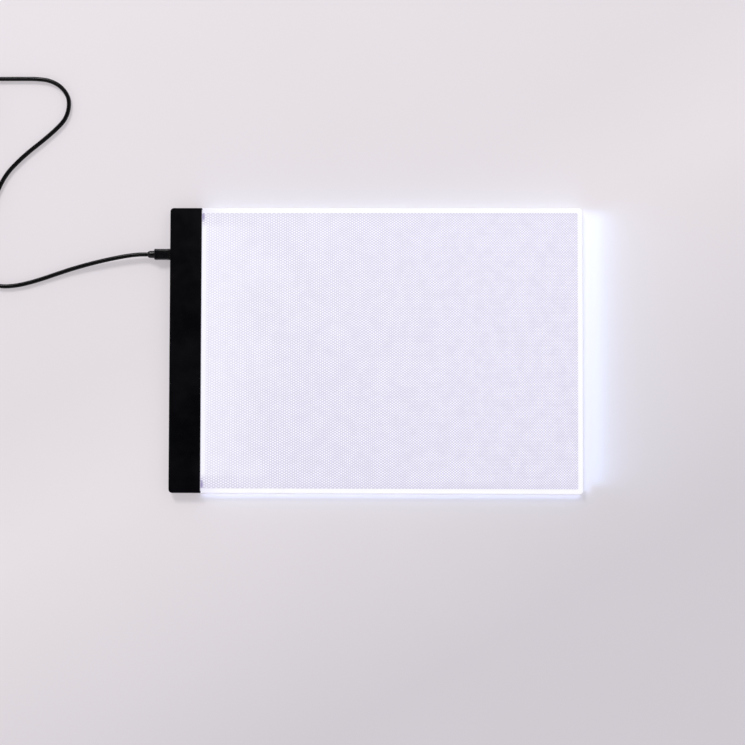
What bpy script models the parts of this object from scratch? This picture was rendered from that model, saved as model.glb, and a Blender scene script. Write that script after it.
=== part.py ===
# LED tracing pad: a thin light panel gripped along one edge by a black bar, with a detachable
# USB supply cord. Metres, +Z up. The origin is on the table under the middle of the pad.
# X runs from the bar to the panel's far edge, Y runs along the bar.
import math

import bmesh
import bpy
import numpy as np
from mathutils import Matrix, Vector

# Pad, seen from above
PAD_LENGTH = 0.340  # bar and panel together, along X
PAD_WIDTH = 0.235  # along Y
BAR_WIDTH = 0.026
TONGUE_DEPTH = 0.008  # how far the panel reaches into the bar
CLEAR_MARGIN = 0.004  # rim of the panel that the films leave free
BAR_CORNER_RADIUS = 0.003
PANEL_CORNER_RADIUS = 0.0025
FILM_CORNER_RADIUS = 0.001

# Thicknesses, from the table up
FOOT_HEIGHT = 0.0010
FILM_GAP = 0.0001  # a layer of glue, solder or loose film
SHELL_WALL = 0.0010  # floor and roof of the bar
SIDE_WALL = 0.0012  # upright walls of the bar
TAPE_THICKNESS = 0.0002
REFLECTOR_THICKNESS = 0.0003
PANEL_THICKNESS = 0.0030
DIFFUSER_THICKNESS = 0.0002
FIT_GAP = 0.0003  # clearance between moulded pieces
SEAM_GAP = 0.0002  # visible line between the two shells
SEAM_SHARE = 0.45  # height of that line on the bar's side
OVERRUN = 0.0010  # how far every cutter runs past what it cuts

# Softened edges
SHELL_EDGE = 0.0005
PANEL_EDGE = 0.0002

# Feet
FOOT_DIAMETER = 0.008
FOOT_CHAMFER = 0.0003
FOOT_INSET = 0.013  # from the pad's sides to a foot's centre

# LED strip behind the panel's edge
LED_COUNT = 20
LED_WIDTH = 0.0030
LED_HEIGHT = 0.0014
LED_DEPTH = 0.0008
LED_WINDOW_RIM = 0.0002
LED_WINDOW_DEPTH = 0.0001
STRIP_THICKNESS = 0.0006
STRIP_EDGE_GAP = 0.0006  # above and below the strip
STRIP_END_GAP = 0.0010
RIB_THICKNESS = 0.0008  # wall of the lower shell that the strip is stuck to

# Self-tapping screws that hold the shells together
SCREW_END_INSET = 0.006
SCREW_MIDDLE_SHARE = 0.38  # of half the pad's width
SCREW_SHANK_DIAMETER = 0.0016
SCREW_HEAD_DIAMETER = 0.0030
SCREW_HEAD_HEIGHT = 0.0009
SCREW_TIP_GAP = 0.0005
SCREW_SEAT = 0.0007  # plastic between the head and the upper boss
SCREW_CLEARANCE = 0.0002
CROSS_LENGTH = 0.0018
CROSS_WIDTH = 0.0004
CROSS_DEPTH = 0.0004
BOSS_WALL = 0.0010

# Controller board and what it carries
BOARD_THICKNESS = 0.0008
BOARD_END_GAP = 0.0010
CHIP_LENGTH = 0.0049
CHIP_WIDTH = 0.0039
CHIP_HEIGHT = 0.0014
TRANSISTOR_LENGTH = 0.0045
TRANSISTOR_WIDTH = 0.0025
TRANSISTOR_HEIGHT = 0.0015
CAPACITOR_LENGTH = 0.0032
CAPACITOR_WIDTH = 0.0016
CAPACITOR_HEIGHT = 0.0016
COMPONENT_EDGE = 0.0001
CHIP_PLACE_SHARE = 0.14  # along the free board below the socket
TRANSISTOR_PLACE_SHARE = 0.48
CAPACITOR_PLACE_SHARE = 0.78
SPRING_PLACE_SHARE = 0.60  # along the free board above the socket
SPRING_DIAMETER = 0.0060
SPRING_WIRE = 0.0005
SPRING_TURNS = 2.5
WIRE_DIAMETER = 0.0007
WIRE_SPACING = 0.0022
WIRE_PLACE_SHARE = 0.48
WIRE_RISE = 0.0012
WIRE_EDGE_INSET = 0.0012  # from the board's edge to the wires' pads

# Micro-USB socket and plug, from the tongue outwards
SOCKET_INSET = 0.0382  # from the bar's +Y end to the socket's middle
SOCKET_RECESS = 0.0002
SOCKET_LENGTH = 0.0060
SOCKET_WALL = 0.00025
SOCKET_OPENING_GAP = 0.00025
SOCKET_CORNER = 0.0004
TONGUE_WIDTH = 0.0037
TONGUE_THICKNESS = 0.0004
TONGUE_BASE = 0.0008
TONGUE_RECESS = 0.0012
TONGUE_GAP = 0.0002
MICRO_SHELL_WIDTH = 0.0066
MICRO_SHELL_WALL = 0.00025
MICRO_SHELL_GAP = 0.0002  # between the plug's shell and the socket's
MICRO_LEAF_THICKNESS = 0.00035
MICRO_TIP_GAP = 0.0005
MICRO_SEAT = 0.0030  # length of the plug's shell held in its grip
MICRO_GRIP_LENGTH = 0.0130
MICRO_GRIP_WIDTH = 0.0090
MICRO_GRIP_HEIGHT = 0.0065
MICRO_GRIP_CORNER = 0.0018
MICRO_NECK_LENGTH = 0.0054
MICRO_NECK_DIAMETER = 0.0060

# USB-A plug on the cord's far end
USB_A_SHELL_WIDTH = 0.0120
USB_A_SHELL_HEIGHT = 0.0045
USB_A_SHELL_WALL = 0.0003
USB_A_SHELL_LENGTH = 0.0118
USB_A_INSERT_THICKNESS = 0.0018
USB_A_INSERT_RECESS = 0.0005
USB_A_SEAT = 0.0050
USB_A_GRIP_LENGTH = 0.0230
USB_A_GRIP_WIDTH = 0.0155
USB_A_GRIP_HEIGHT = 0.0080
USB_A_GRIP_CORNER = 0.0018
USB_A_NECK_LENGTH = 0.0070
USB_A_NECK_DIAMETER = 0.0058
GRIP_EDGE = 0.0008  # rounding of both grips' ends
NECK_STRAIGHT_SHARE = 0.7  # of a neck's length, before it narrows to the cord
NECK_TIP_WALL = 0.0006  # neck left round the cord at its thin end

# Cord, coil and tie
CORD_DIAMETER = 0.0035
CORD_REST = 0.0002  # clear height over the table
CORD_GAP = 0.0003  # between the ends of the cord's pieces
CORD_STEP_SHARE = 2.5  # point spacing in cord diameters
CORD_FALL_START = 0.008  # where the cord begins to come down from the plug, along it
CORD_FALL_END = 0.090
CORD_CLIMB = 0.020  # length over which it rises to the coil
COIL_INNER_RADIUS = 0.0153
COIL_TURNS_PER_LAYER = 2.625
COIL_TURN_GAP = 0.0007
COIL_POINTS_PER_TURN = 24
COIL_REVERSAL_SHARE = 0.15  # of a turn, over which the spiral reverses
COIL_TAIL = 0.019  # straight end between the coil and the plug
TIE_THICKNESS = 0.0005
TIE_WIDTH = 0.0050
TIE_SIDE_GAP = 0.0007
TIE_CORNER = 0.0012
TIE_ANGLE = math.radians(300)

# The cord's route over the table, as offsets from where it leaves the plug
CORD_ROUTE = [
    (0.0000, 0.0000),
    (-0.0080, -0.0002),
    (-0.0175, -0.0013),
    (-0.0285, -0.0033),
    (-0.0402, -0.0058),
    (-0.0520, -0.0087),
    (-0.0635, -0.0119),
    (-0.0750, -0.0156),
    (-0.0863, -0.0194),
    (-0.0960, -0.0224),
    (-0.1050, -0.0247),
    (-0.1140, -0.0261),
    (-0.1225, -0.0262),
    (-0.1305, -0.0242),
    (-0.1368, -0.0190),
    (-0.1402, -0.0110),
    (-0.1408, -0.0010),
    (-0.1386, 0.0130),
    (-0.1351, 0.0275),
    (-0.1303, 0.0430),
    (-0.1240, 0.0585),
    (-0.1178, 0.0688),
    (-0.1094, 0.0780),
    (-0.0998, 0.0867),
    (-0.0886, 0.0958),
    (-0.0784, 0.1048),
    (-0.0711, 0.1131),
    (-0.0678, 0.1224),
    (-0.0684, 0.1320),
    (-0.0744, 0.1405),
    (-0.0835, 0.1455),
    (-0.0940, 0.1472),
    (-0.1060, 0.1474),
    (-0.1200, 0.1474),
    (-0.1340, 0.1474),
    (-0.1480, 0.1474),
    (-0.1587, 0.1474),
]

# Places along X
HALF_LENGTH = PAD_LENGTH / 2
HALF_WIDTH = PAD_WIDTH / 2
BAR_LEFT = -HALF_LENGTH
BAR_RIGHT = BAR_LEFT + BAR_WIDTH
BAY_LEFT = BAR_LEFT + SIDE_WALL
PANEL_START = BAR_RIGHT + FIT_GAP
TONGUE_END = BAR_RIGHT - TONGUE_DEPTH
LED_FACE = TONGUE_END - FIT_GAP
LED_BACK = LED_FACE - LED_DEPTH
STRIP_FRONT = LED_BACK - FILM_GAP
STRIP_BACK = STRIP_FRONT - STRIP_THICKNESS
RIB_FRONT = STRIP_BACK - FILM_GAP
RIB_BACK = RIB_FRONT - RIB_THICKNESS
BOARD_LEFT = BAY_LEFT + FIT_GAP
BOARD_RIGHT = RIB_BACK - FIT_GAP
BOARD_MIDDLE = (BOARD_LEFT + BOARD_RIGHT) / 2

# Places along Y
BAY_HALF_WIDTH = HALF_WIDTH - SIDE_WALL
TONGUE_HALF_WIDTH = BAY_HALF_WIDTH - FIT_GAP
FILM_HALF_WIDTH = HALF_WIDTH - CLEAR_MARGIN
STRIP_HALF_LENGTH = TONGUE_HALF_WIDTH - STRIP_END_GAP
SOCKET_Y = HALF_WIDTH - SOCKET_INSET

# Heights
BAR_BOTTOM = FOOT_HEIGHT + FILM_GAP
FLOOR_TOP = BAR_BOTTOM + SHELL_WALL
TAPE_BOTTOM = FLOOR_TOP + FILM_GAP
REFLECTOR_BOTTOM = TAPE_BOTTOM + TAPE_THICKNESS + FILM_GAP
PANEL_BOTTOM = REFLECTOR_BOTTOM + REFLECTOR_THICKNESS + FILM_GAP
PANEL_TOP = PANEL_BOTTOM + PANEL_THICKNESS
DIFFUSER_BOTTOM = PANEL_TOP + FILM_GAP
DIFFUSER_TOP = DIFFUSER_BOTTOM + DIFFUSER_THICKNESS
ROOF_BOTTOM = DIFFUSER_TOP + FIT_GAP
BAR_TOP = ROOF_BOTTOM + SHELL_WALL
SEAM_HEIGHT = BAR_BOTTOM + SEAM_SHARE * (BAR_TOP - BAR_BOTTOM)
PANEL_MIDDLE = PANEL_BOTTOM + PANEL_THICKNESS / 2
STRIP_BOTTOM = FLOOR_TOP + STRIP_EDGE_GAP
STRIP_TOP = ROOF_BOTTOM - STRIP_EDGE_GAP
BOARD_BOTTOM = FLOOR_TOP + FIT_GAP
BOARD_TOP = BOARD_BOTTOM + BOARD_THICKNESS
PART_BOTTOM = BOARD_TOP + FILM_GAP

# Screws
SCREW_X = (BAY_LEFT + RIB_BACK) / 2
SCREW_HOLE_RADIUS = SCREW_SHANK_DIAMETER / 2 + SCREW_CLEARANCE
HEAD_HOLE_RADIUS = SCREW_HEAD_DIAMETER / 2 + SCREW_CLEARANCE
HEAD_TOP = BAR_BOTTOM + SCREW_HEAD_HEIGHT + FILM_GAP
HEAD_HOLE_TOP = HEAD_TOP + FILM_GAP
LOWER_BOSS_TOP = HEAD_HOLE_TOP + SCREW_SEAT
BOSS_RADIUS = SCREW_HOLE_RADIUS + BOSS_WALL
LOWER_BOSS_RADIUS = HEAD_HOLE_RADIUS + BOSS_WALL
SCREW_END_Y = HALF_WIDTH - SCREW_END_INSET
SCREW_MIDDLE_Y = SCREW_MIDDLE_SHARE * HALF_WIDTH
SCREW_PLACES = [
    (SCREW_X, -SCREW_END_Y),
    (SCREW_X, -SCREW_MIDDLE_Y),
    (SCREW_X, SCREW_MIDDLE_Y),
    (SCREW_X, SCREW_END_Y),
]

# Board ends, between two of the lower bosses
BOARD_LOW_Y = SCREW_MIDDLE_Y + LOWER_BOSS_RADIUS + BOARD_END_GAP
BOARD_HIGH_Y = SCREW_END_Y - LOWER_BOSS_RADIUS - BOARD_END_GAP

# Micro-USB sections, from the leaf in the plug out to the opening in the bar
MICRO_INNER_HEIGHT = FILM_GAP + MICRO_LEAF_THICKNESS + TONGUE_GAP + TONGUE_THICKNESS + TONGUE_GAP
MICRO_INNER_WIDTH = MICRO_SHELL_WIDTH - 2 * MICRO_SHELL_WALL
MICRO_SHELL_HEIGHT = MICRO_INNER_HEIGHT + 2 * MICRO_SHELL_WALL
SOCKET_INNER_WIDTH = MICRO_SHELL_WIDTH + 2 * MICRO_SHELL_GAP
SOCKET_INNER_HEIGHT = MICRO_SHELL_HEIGHT + 2 * MICRO_SHELL_GAP
SOCKET_WIDTH = SOCKET_INNER_WIDTH + 2 * SOCKET_WALL
SOCKET_HEIGHT = SOCKET_INNER_HEIGHT + 2 * SOCKET_WALL
SOCKET_MIDDLE = PART_BOTTOM + SOCKET_HEIGHT / 2
SOCKET_FRONT = BAR_LEFT + SOCKET_RECESS
SOCKET_BACK = SOCKET_FRONT + SOCKET_LENGTH
TONGUE_TIP = SOCKET_FRONT + TONGUE_RECESS
GRIP_FACE = BAR_LEFT - FIT_GAP
MICRO_REACH = SOCKET_BACK - TONGUE_BASE - MICRO_TIP_GAP - GRIP_FACE
MICRO_BLOCK_REACH = TONGUE_TIP - MICRO_TIP_GAP - GRIP_FACE
CORD_EXIT = Vector((GRIP_FACE - MICRO_GRIP_LENGTH - MICRO_NECK_LENGTH - CORD_GAP, SOCKET_Y, SOCKET_MIDDLE))

# Coil
CORD_RADIUS = CORD_DIAMETER / 2
CORD_HEIGHT = CORD_REST + CORD_RADIUS
COIL_PITCH = CORD_DIAMETER + COIL_TURN_GAP
COIL_OUTER_RADIUS = COIL_INNER_RADIUS + COIL_PITCH * COIL_TURNS_PER_LAYER
COIL_LOW = CORD_REST + TIE_THICKNESS + CORD_GAP + CORD_RADIUS
COIL_HIGH = COIL_LOW + COIL_PITCH
COIL_CENTRE = Vector((
    CORD_EXIT.x + CORD_ROUTE[-1][0] - CORD_GAP - CORD_DIAMETER,
    CORD_EXIT.y + CORD_ROUTE[-1][1] - COIL_OUTER_RADIUS,
    0,
))
USB_A_MIDDLE = CORD_REST + USB_A_GRIP_HEIGHT / 2

ROUND_STEPS = 24
CORNER_STEPS = 4


# Materials

def material(name, colour, roughness, metallic=0.0):
    made = bpy.data.materials.new(name)
    made.use_nodes = True
    shader = made.node_tree.nodes["Principled BSDF"]
    shader.inputs["Base Color"].default_value = (*colour, 1.0)
    shader.inputs["Roughness"].default_value = roughness
    shader.inputs["Metallic"].default_value = metallic
    made.diffuse_color = (*colour, 1.0)
    return made


def make_materials():
    return {
        "bar": material("black_abs", (0.006, 0.006, 0.008), 0.55),
        "panel": material("clear_acrylic", (0.93, 0.93, 0.98), 0.10),
        "diffuser": material("matt_film", (0.80, 0.78, 0.90), 0.60),
        "reflector": material("white_film", (0.90, 0.90, 0.90), 0.50),
        "tape": material("white_tape", (0.75, 0.75, 0.72), 0.70),
        "rubber": material("grey_rubber", (0.10, 0.10, 0.10), 0.80),
        "clear_rubber": material("clear_rubber", (0.70, 0.72, 0.74), 0.30),
        "board": material("green_board", (0.015, 0.10, 0.04), 0.40),
        "strip": material("white_board", (0.80, 0.80, 0.78), 0.45),
        "led": material("led_package", (0.85, 0.80, 0.45), 0.35),
        "chip": material("chip_resin", (0.02, 0.02, 0.02), 0.50),
        "capacitor": material("ceramic", (0.45, 0.30, 0.18), 0.45),
        "steel": material("plated_steel", (0.60, 0.60, 0.62), 0.30, 1.0),
        "screw": material("zinc_plate", (0.50, 0.50, 0.52), 0.35, 1.0),
        "insert": material("black_insert", (0.015, 0.015, 0.015), 0.45),
        "red": material("red_wire", (0.50, 0.02, 0.02), 0.45),
        "black": material("black_wire", (0.012, 0.012, 0.012), 0.45),
        "cord": material("cord_jacket", (0.010, 0.010, 0.012), 0.50),
        "grip": material("grip_rubber", (0.008, 0.008, 0.010), 0.50),
        "tie": material("tie_strip", (0.02, 0.02, 0.02), 0.60),
    }


# Outlines and solids

def arc(centre, radius, start, steps=CORNER_STEPS):
    """Points of a quarter turn, anticlockwise from the start angle."""
    turns = [start + math.pi / 2 * step / steps for step in range(steps + 1)]
    return [(centre[0] + radius * math.cos(a), centre[1] + radius * math.sin(a)) for a in turns]


def rounded_plan(low, high, radii):
    """A rectangle between two corners. The radii are of its corners, anticlockwise from the lowest one."""
    corners = [low, (high[0], low[1]), high, (low[0], high[1])]
    inward = [(1, 1), (-1, 1), (-1, -1), (1, -1)]
    points = []
    for number, (corner, way, radius) in enumerate(zip(corners, inward, radii)):
        if radius:
            centre = (corner[0] + way[0] * radius, corner[1] + way[1] * radius)
            points += arc(centre, radius, math.pi + number * math.pi / 2)
        else:
            points.append(corner)
    return points


def section(width, height, radius):
    """A rounded rectangle about the origin."""
    return rounded_plan((-width / 2, -height / 2), (width / 2, height / 2), [radius] * 4)


def prism(points, low, high, along="Z", edge=0.0, edge_steps=2, ends=(True, True)):
    """A mesh of an outline drawn out between two levels, its end rims softened by edge."""
    bm = bmesh.new()
    level = 2 if along == "Z" else 0
    place = (lambda a, b, c: (a, b, c)) if along == "Z" else (lambda a, b, c: (c, a, b))
    bottom = [bm.verts.new(place(a, b, low)) for a, b in points]
    face = bm.faces.new(bottom)
    moved = bmesh.ops.extrude_face_region(bm, geom=[face])
    top = [item for item in moved["geom"] if isinstance(item, bmesh.types.BMVert)]
    for vert in top:
        vert.co[level] = high
    bm.normal_update()
    if edge:
        wanted = [value for value, on in zip((low, high), ends) if on]
        rim = [
            item for item in bm.edges
            if any(all(vert.co[level] == np.float32(value) for vert in item.verts) for value in wanted)
        ]
        bmesh.ops.bevel(bm, geom=rim, offset=edge, segments=edge_steps, profile=0.5, affect="EDGES")
    bmesh.ops.recalc_face_normals(bm, faces=bm.faces)
    return finish_mesh(bm)


def block(low, high, edge=0.0):
    return prism(
        [(low[0], low[1]), (high[0], low[1]), (high[0], high[1]), (low[0], high[1])],
        low[2], high[2], edge=edge, edge_steps=1,
    )


def turned(profile, steps=ROUND_STEPS):
    """A mesh turned about Z from (radius, height) points, whose first and last lie on the axis."""
    bm = bmesh.new()
    rings = []
    for radius, height in profile:
        if radius:
            angles = [math.tau * step / steps for step in range(steps)]
            ring = [bm.verts.new((radius * math.cos(a), radius * math.sin(a), height)) for a in angles]
        else:
            ring = [bm.verts.new((0, 0, height))]
        rings.append(ring)
    for lower, upper in zip(rings, rings[1:]):
        for step in range(steps):
            after = (step + 1) % steps
            corners = [lower[step % len(lower)], lower[after % len(lower)]]
            corners += [upper[after % len(upper)], upper[step % len(upper)]]
            bm.faces.new(list(dict.fromkeys(corners)))
    bmesh.ops.recalc_face_normals(bm, faces=bm.faces)
    return finish_mesh(bm)


def finish_mesh(bm):
    mesh = bpy.data.meshes.new("mesh")
    bm.to_mesh(mesh)
    bm.free()
    return mesh


def several(meshes_and_places):
    """One mesh of copies that don't touch, for a cutter that works at several places."""
    bm = bmesh.new()
    for mesh, place in meshes_and_places:
        start = len(bm.verts)
        bm.from_mesh(mesh)
        bm.verts.ensure_lookup_table()
        bmesh.ops.translate(bm, verts=bm.verts[start:], vec=place)
    return finish_mesh(bm)


def smooth(mesh, angle=math.radians(35)):
    mesh.shade_smooth()
    mesh.set_sharp_from_angle(angle=angle)
    return mesh


def piece(name, mesh, look, place=(0, 0, 0)):
    made = bpy.data.objects.new(name, mesh)
    made.location = place
    mesh.name = name
    if not mesh.materials:
        mesh.materials.append(look)
    bpy.context.scene.collection.objects.link(made)
    return made


def cutter(name, mesh, place=(0, 0, 0)):
    made = bpy.data.objects.new(name, mesh)
    made.location = place
    made.hide_render = True
    made.display_type = "WIRE"
    bpy.context.scene.collection.objects.link(made)
    return made


def combine(target, tool, operation):
    step = target.modifiers.new(tool.name, "BOOLEAN")
    step.operation = operation
    step.solver = "EXACT"
    step.object = tool


def tube(name, points, diameter, look, resolution):
    curve = bpy.data.curves.new(name, "CURVE")
    curve.dimensions = "3D"
    curve.bevel_depth = diameter / 2
    curve.bevel_resolution = resolution
    curve.use_fill_caps = True
    spline = curve.splines.new("POLY")
    spline.points.add(len(points) - 1)
    for number, point in enumerate(points):
        spline.points[number].co = (*point, 1)
    made = bpy.data.objects.new(name, curve)
    curve.materials.append(look)
    bpy.context.scene.collection.objects.link(made)
    return made


def smooth_path(points, spacing):
    """Points at even steps along a smooth curve through the given ones."""
    known = [Vector(point) for point in points]
    known = [2 * known[0] - known[1], *known, 2 * known[-1] - known[-2]]
    dense = []
    parts = 16
    for before, start, end, after in zip(known, known[1:], known[2:], known[3:]):
        for part in range(parts):
            t = part / parts
            dense.append(
                0.5 * (2 * start + (end - before) * t + (2 * before - 5 * start + 4 * end - after) * t**2
                       + (3 * start - before - 3 * end + after) * t**3)
            )
    dense.append(known[-2])
    steps = [(b - a).length for a, b in zip(dense, dense[1:])]
    reached = np.concatenate(([0], np.cumsum(steps)))
    count = max(2, round(reached[-1] / spacing))
    wanted = np.linspace(0, reached[-1], count + 1)
    rows = np.array([tuple(point) for point in dense])
    return [Vector([np.interp(w, reached, rows[:, axis]) for axis in range(3)]) for w in wanted]


def ease(share):
    share = min(1.0, max(0.0, share))
    return share * share * (3 - 2 * share)


# The bar's two shells

def bar_plan(inset, right):
    """The bar seen from above, drawn in by inset on its three outer sides."""
    half = HALF_WIDTH - inset
    radius = BAR_CORNER_RADIUS - inset
    return rounded_plan((BAR_LEFT + inset, -half), (right, half), [radius, 0, 0, radius])


def make_shells(looks):
    seam_low = SEAM_HEIGHT - SEAM_GAP / 2
    seam_high = SEAM_HEIGHT + SEAM_GAP / 2
    upper = piece(
        "upper_shell",
        prism(bar_plan(0, BAR_RIGHT), seam_high, BAR_TOP, edge=SHELL_EDGE, ends=(False, True)),
        looks["bar"],
    )
    lower = piece(
        "lower_shell",
        prism(bar_plan(0, BAR_RIGHT), BAR_BOTTOM, seam_low, edge=SHELL_EDGE, ends=(True, False)),
        looks["bar"],
    )
    bay = bar_plan(SIDE_WALL, BAR_RIGHT + OVERRUN)
    combine(upper, cutter("upper_bay", prism(bay, BAR_BOTTOM, ROOF_BOTTOM)), "DIFFERENCE")
    combine(lower, cutter("lower_bay", prism(bay, FLOOR_TOP, BAR_TOP)), "DIFFERENCE")

    mouth = section(
        SOCKET_WIDTH + 2 * SOCKET_OPENING_GAP, SOCKET_HEIGHT + 2 * SOCKET_OPENING_GAP,
        SOCKET_CORNER + SOCKET_OPENING_GAP,
    )
    opening = cutter(
        "socket_opening",
        prism(mouth, BAR_LEFT - OVERRUN, BAY_LEFT + OVERRUN, along="X"),
        (0, SOCKET_Y, SOCKET_MIDDLE),
    )
    combine(upper, opening, "DIFFERENCE")
    combine(lower, opening, "DIFFERENCE")

    in_roof = ROOF_BOTTOM + SHELL_WALL / 2
    in_floor = FLOOR_TOP - SHELL_WALL / 2
    rib = block((RIB_BACK, -STRIP_HALF_LENGTH, in_floor), (RIB_FRONT, STRIP_HALF_LENGTH, STRIP_TOP))
    combine(lower, cutter("strip_rib", rib), "UNION")
    notch_reach = WIRE_SPACING / 2 + WIRE_DIAMETER
    notch = block(
        (RIB_BACK - OVERRUN, wire_middle() - notch_reach, BOARD_TOP),
        (RIB_FRONT + OVERRUN, wire_middle() + notch_reach, ROOF_BOTTOM),
    )
    combine(lower, cutter("wire_notch", notch), "DIFFERENCE")

    def at_screws(profile):
        column = turned(profile, ROUND_STEPS // 2)
        return several([(column, (x, y, 0)) for x, y in SCREW_PLACES])

    def column(radius, low, high):
        return [(0, low), (radius, low), (radius, high), (0, high)]

    boss_bottom = LOWER_BOSS_TOP + SEAM_GAP
    upper_bosses = at_screws(column(BOSS_RADIUS, boss_bottom, in_roof))
    combine(upper, cutter("upper_bosses", upper_bosses), "UNION")
    pilot_holes = at_screws(column(SCREW_HOLE_RADIUS, boss_bottom - OVERRUN, ROOF_BOTTOM - FILM_GAP))
    combine(upper, cutter("pilot_holes", pilot_holes), "DIFFERENCE")
    lower_bosses = at_screws(column(LOWER_BOSS_RADIUS, in_floor, LOWER_BOSS_TOP))
    combine(lower, cutter("lower_bosses", lower_bosses), "UNION")
    stepped_hole = [
        (0, BAR_BOTTOM - OVERRUN),
        (HEAD_HOLE_RADIUS, BAR_BOTTOM - OVERRUN),
        (HEAD_HOLE_RADIUS, HEAD_HOLE_TOP),
        (SCREW_HOLE_RADIUS, HEAD_HOLE_TOP),
        (SCREW_HOLE_RADIUS, LOWER_BOSS_TOP + OVERRUN),
        (0, LOWER_BOSS_TOP + OVERRUN),
    ]
    combine(lower, cutter("screw_holes", at_screws(stepped_hole)), "DIFFERENCE")


# Panel and its films

def make_panel(looks):
    far = rounded_plan(
        (PANEL_START, -HALF_WIDTH), (HALF_LENGTH, HALF_WIDTH),
        [0, PANEL_CORNER_RADIUS, PANEL_CORNER_RADIUS, 0],
    )
    tongue = [
        (PANEL_START, TONGUE_HALF_WIDTH),
        (TONGUE_END, TONGUE_HALF_WIDTH),
        (TONGUE_END, -TONGUE_HALF_WIDTH),
        (PANEL_START, -TONGUE_HALF_WIDTH),
    ]
    solid = prism(far + tongue, PANEL_BOTTOM, PANEL_TOP, edge=PANEL_EDGE, edge_steps=1)
    piece("light_guide_panel", solid, looks["panel"])

    # The reflector runs under the bar with the panel, and the diffuser ends beside the bar
    def film(left, low, high):
        corner = (HALF_LENGTH - CLEAR_MARGIN, FILM_HALF_WIDTH)
        return prism(rounded_plan((left, -FILM_HALF_WIDTH), corner, [FILM_CORNER_RADIUS] * 4), low, high)

    reflector = film(TONGUE_END, REFLECTOR_BOTTOM, REFLECTOR_BOTTOM + REFLECTOR_THICKNESS)
    piece("reflector_sheet", reflector, looks["reflector"])
    piece("diffuser_sheet", film(PANEL_START, DIFFUSER_BOTTOM, DIFFUSER_TOP), looks["diffuser"])
    tape = block(
        (TONGUE_END + FIT_GAP, -FILM_HALF_WIDTH + FIT_GAP, TAPE_BOTTOM),
        (BAR_RIGHT - FIT_GAP, FILM_HALF_WIDTH - FIT_GAP, TAPE_BOTTOM + TAPE_THICKNESS),
    )
    piece("panel_tape", tape, looks["tape"])


def make_feet(looks):
    def foot(height):
        radius = FOOT_DIAMETER / 2
        profile = [(0, 0), (radius - FOOT_CHAMFER, 0), (radius, FOOT_CHAMFER), (radius, height), (0, height)]
        return smooth(turned(profile))

    bar_foot = foot(FOOT_HEIGHT)
    panel_foot = foot(REFLECTOR_BOTTOM - FILM_GAP)
    places = [-HALF_WIDTH + FOOT_INSET, HALF_WIDTH - FOOT_INSET]
    for number, y in enumerate(places, 1):
        piece(f"bar_foot_{number}", bar_foot, looks["rubber"], ((BAR_RIGHT + RIB_BACK) / 2, y, 0))
        piece(f"panel_foot_{number}", panel_foot, looks["clear_rubber"], (HALF_LENGTH - FOOT_INSET, y, 0))


# What lies in the bar

def make_led_strip(looks):
    strip = block(
        (STRIP_BACK, -STRIP_HALF_LENGTH, STRIP_BOTTOM), (STRIP_FRONT, STRIP_HALF_LENGTH, STRIP_TOP)
    )
    piece("led_strip_board", strip, looks["strip"])

    bm = bmesh.new()
    bmesh.ops.create_cube(bm, size=1)
    bmesh.ops.scale(bm, vec=(LED_DEPTH, LED_WIDTH, LED_HEIGHT), verts=bm.verts)
    bm.normal_update()
    front = next(face for face in bm.faces if face.normal.x > 0.5)
    bmesh.ops.inset_individual(bm, faces=[front], thickness=LED_WINDOW_RIM)
    bmesh.ops.translate(bm, verts=front.verts, vec=(-LED_WINDOW_DEPTH, 0, 0))
    package = finish_mesh(bm)
    pitch = 2 * STRIP_HALF_LENGTH / LED_COUNT
    for number in range(LED_COUNT):
        y = -STRIP_HALF_LENGTH + pitch * (number + 0.5)
        piece(f"led_{number + 1:02d}", package, looks["led"], (LED_BACK + LED_DEPTH / 2, y, PANEL_MIDDLE))


def below_socket(share):
    """A place on the free board between its lower end and the socket."""
    return BOARD_LOW_Y + share * (SOCKET_Y - SOCKET_WIDTH / 2 - BOARD_LOW_Y)


def above_socket(share):
    start = SOCKET_Y + SOCKET_WIDTH / 2
    return start + share * (BOARD_HIGH_Y - start)


def wire_middle():
    return below_socket(WIRE_PLACE_SHARE)


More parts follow.
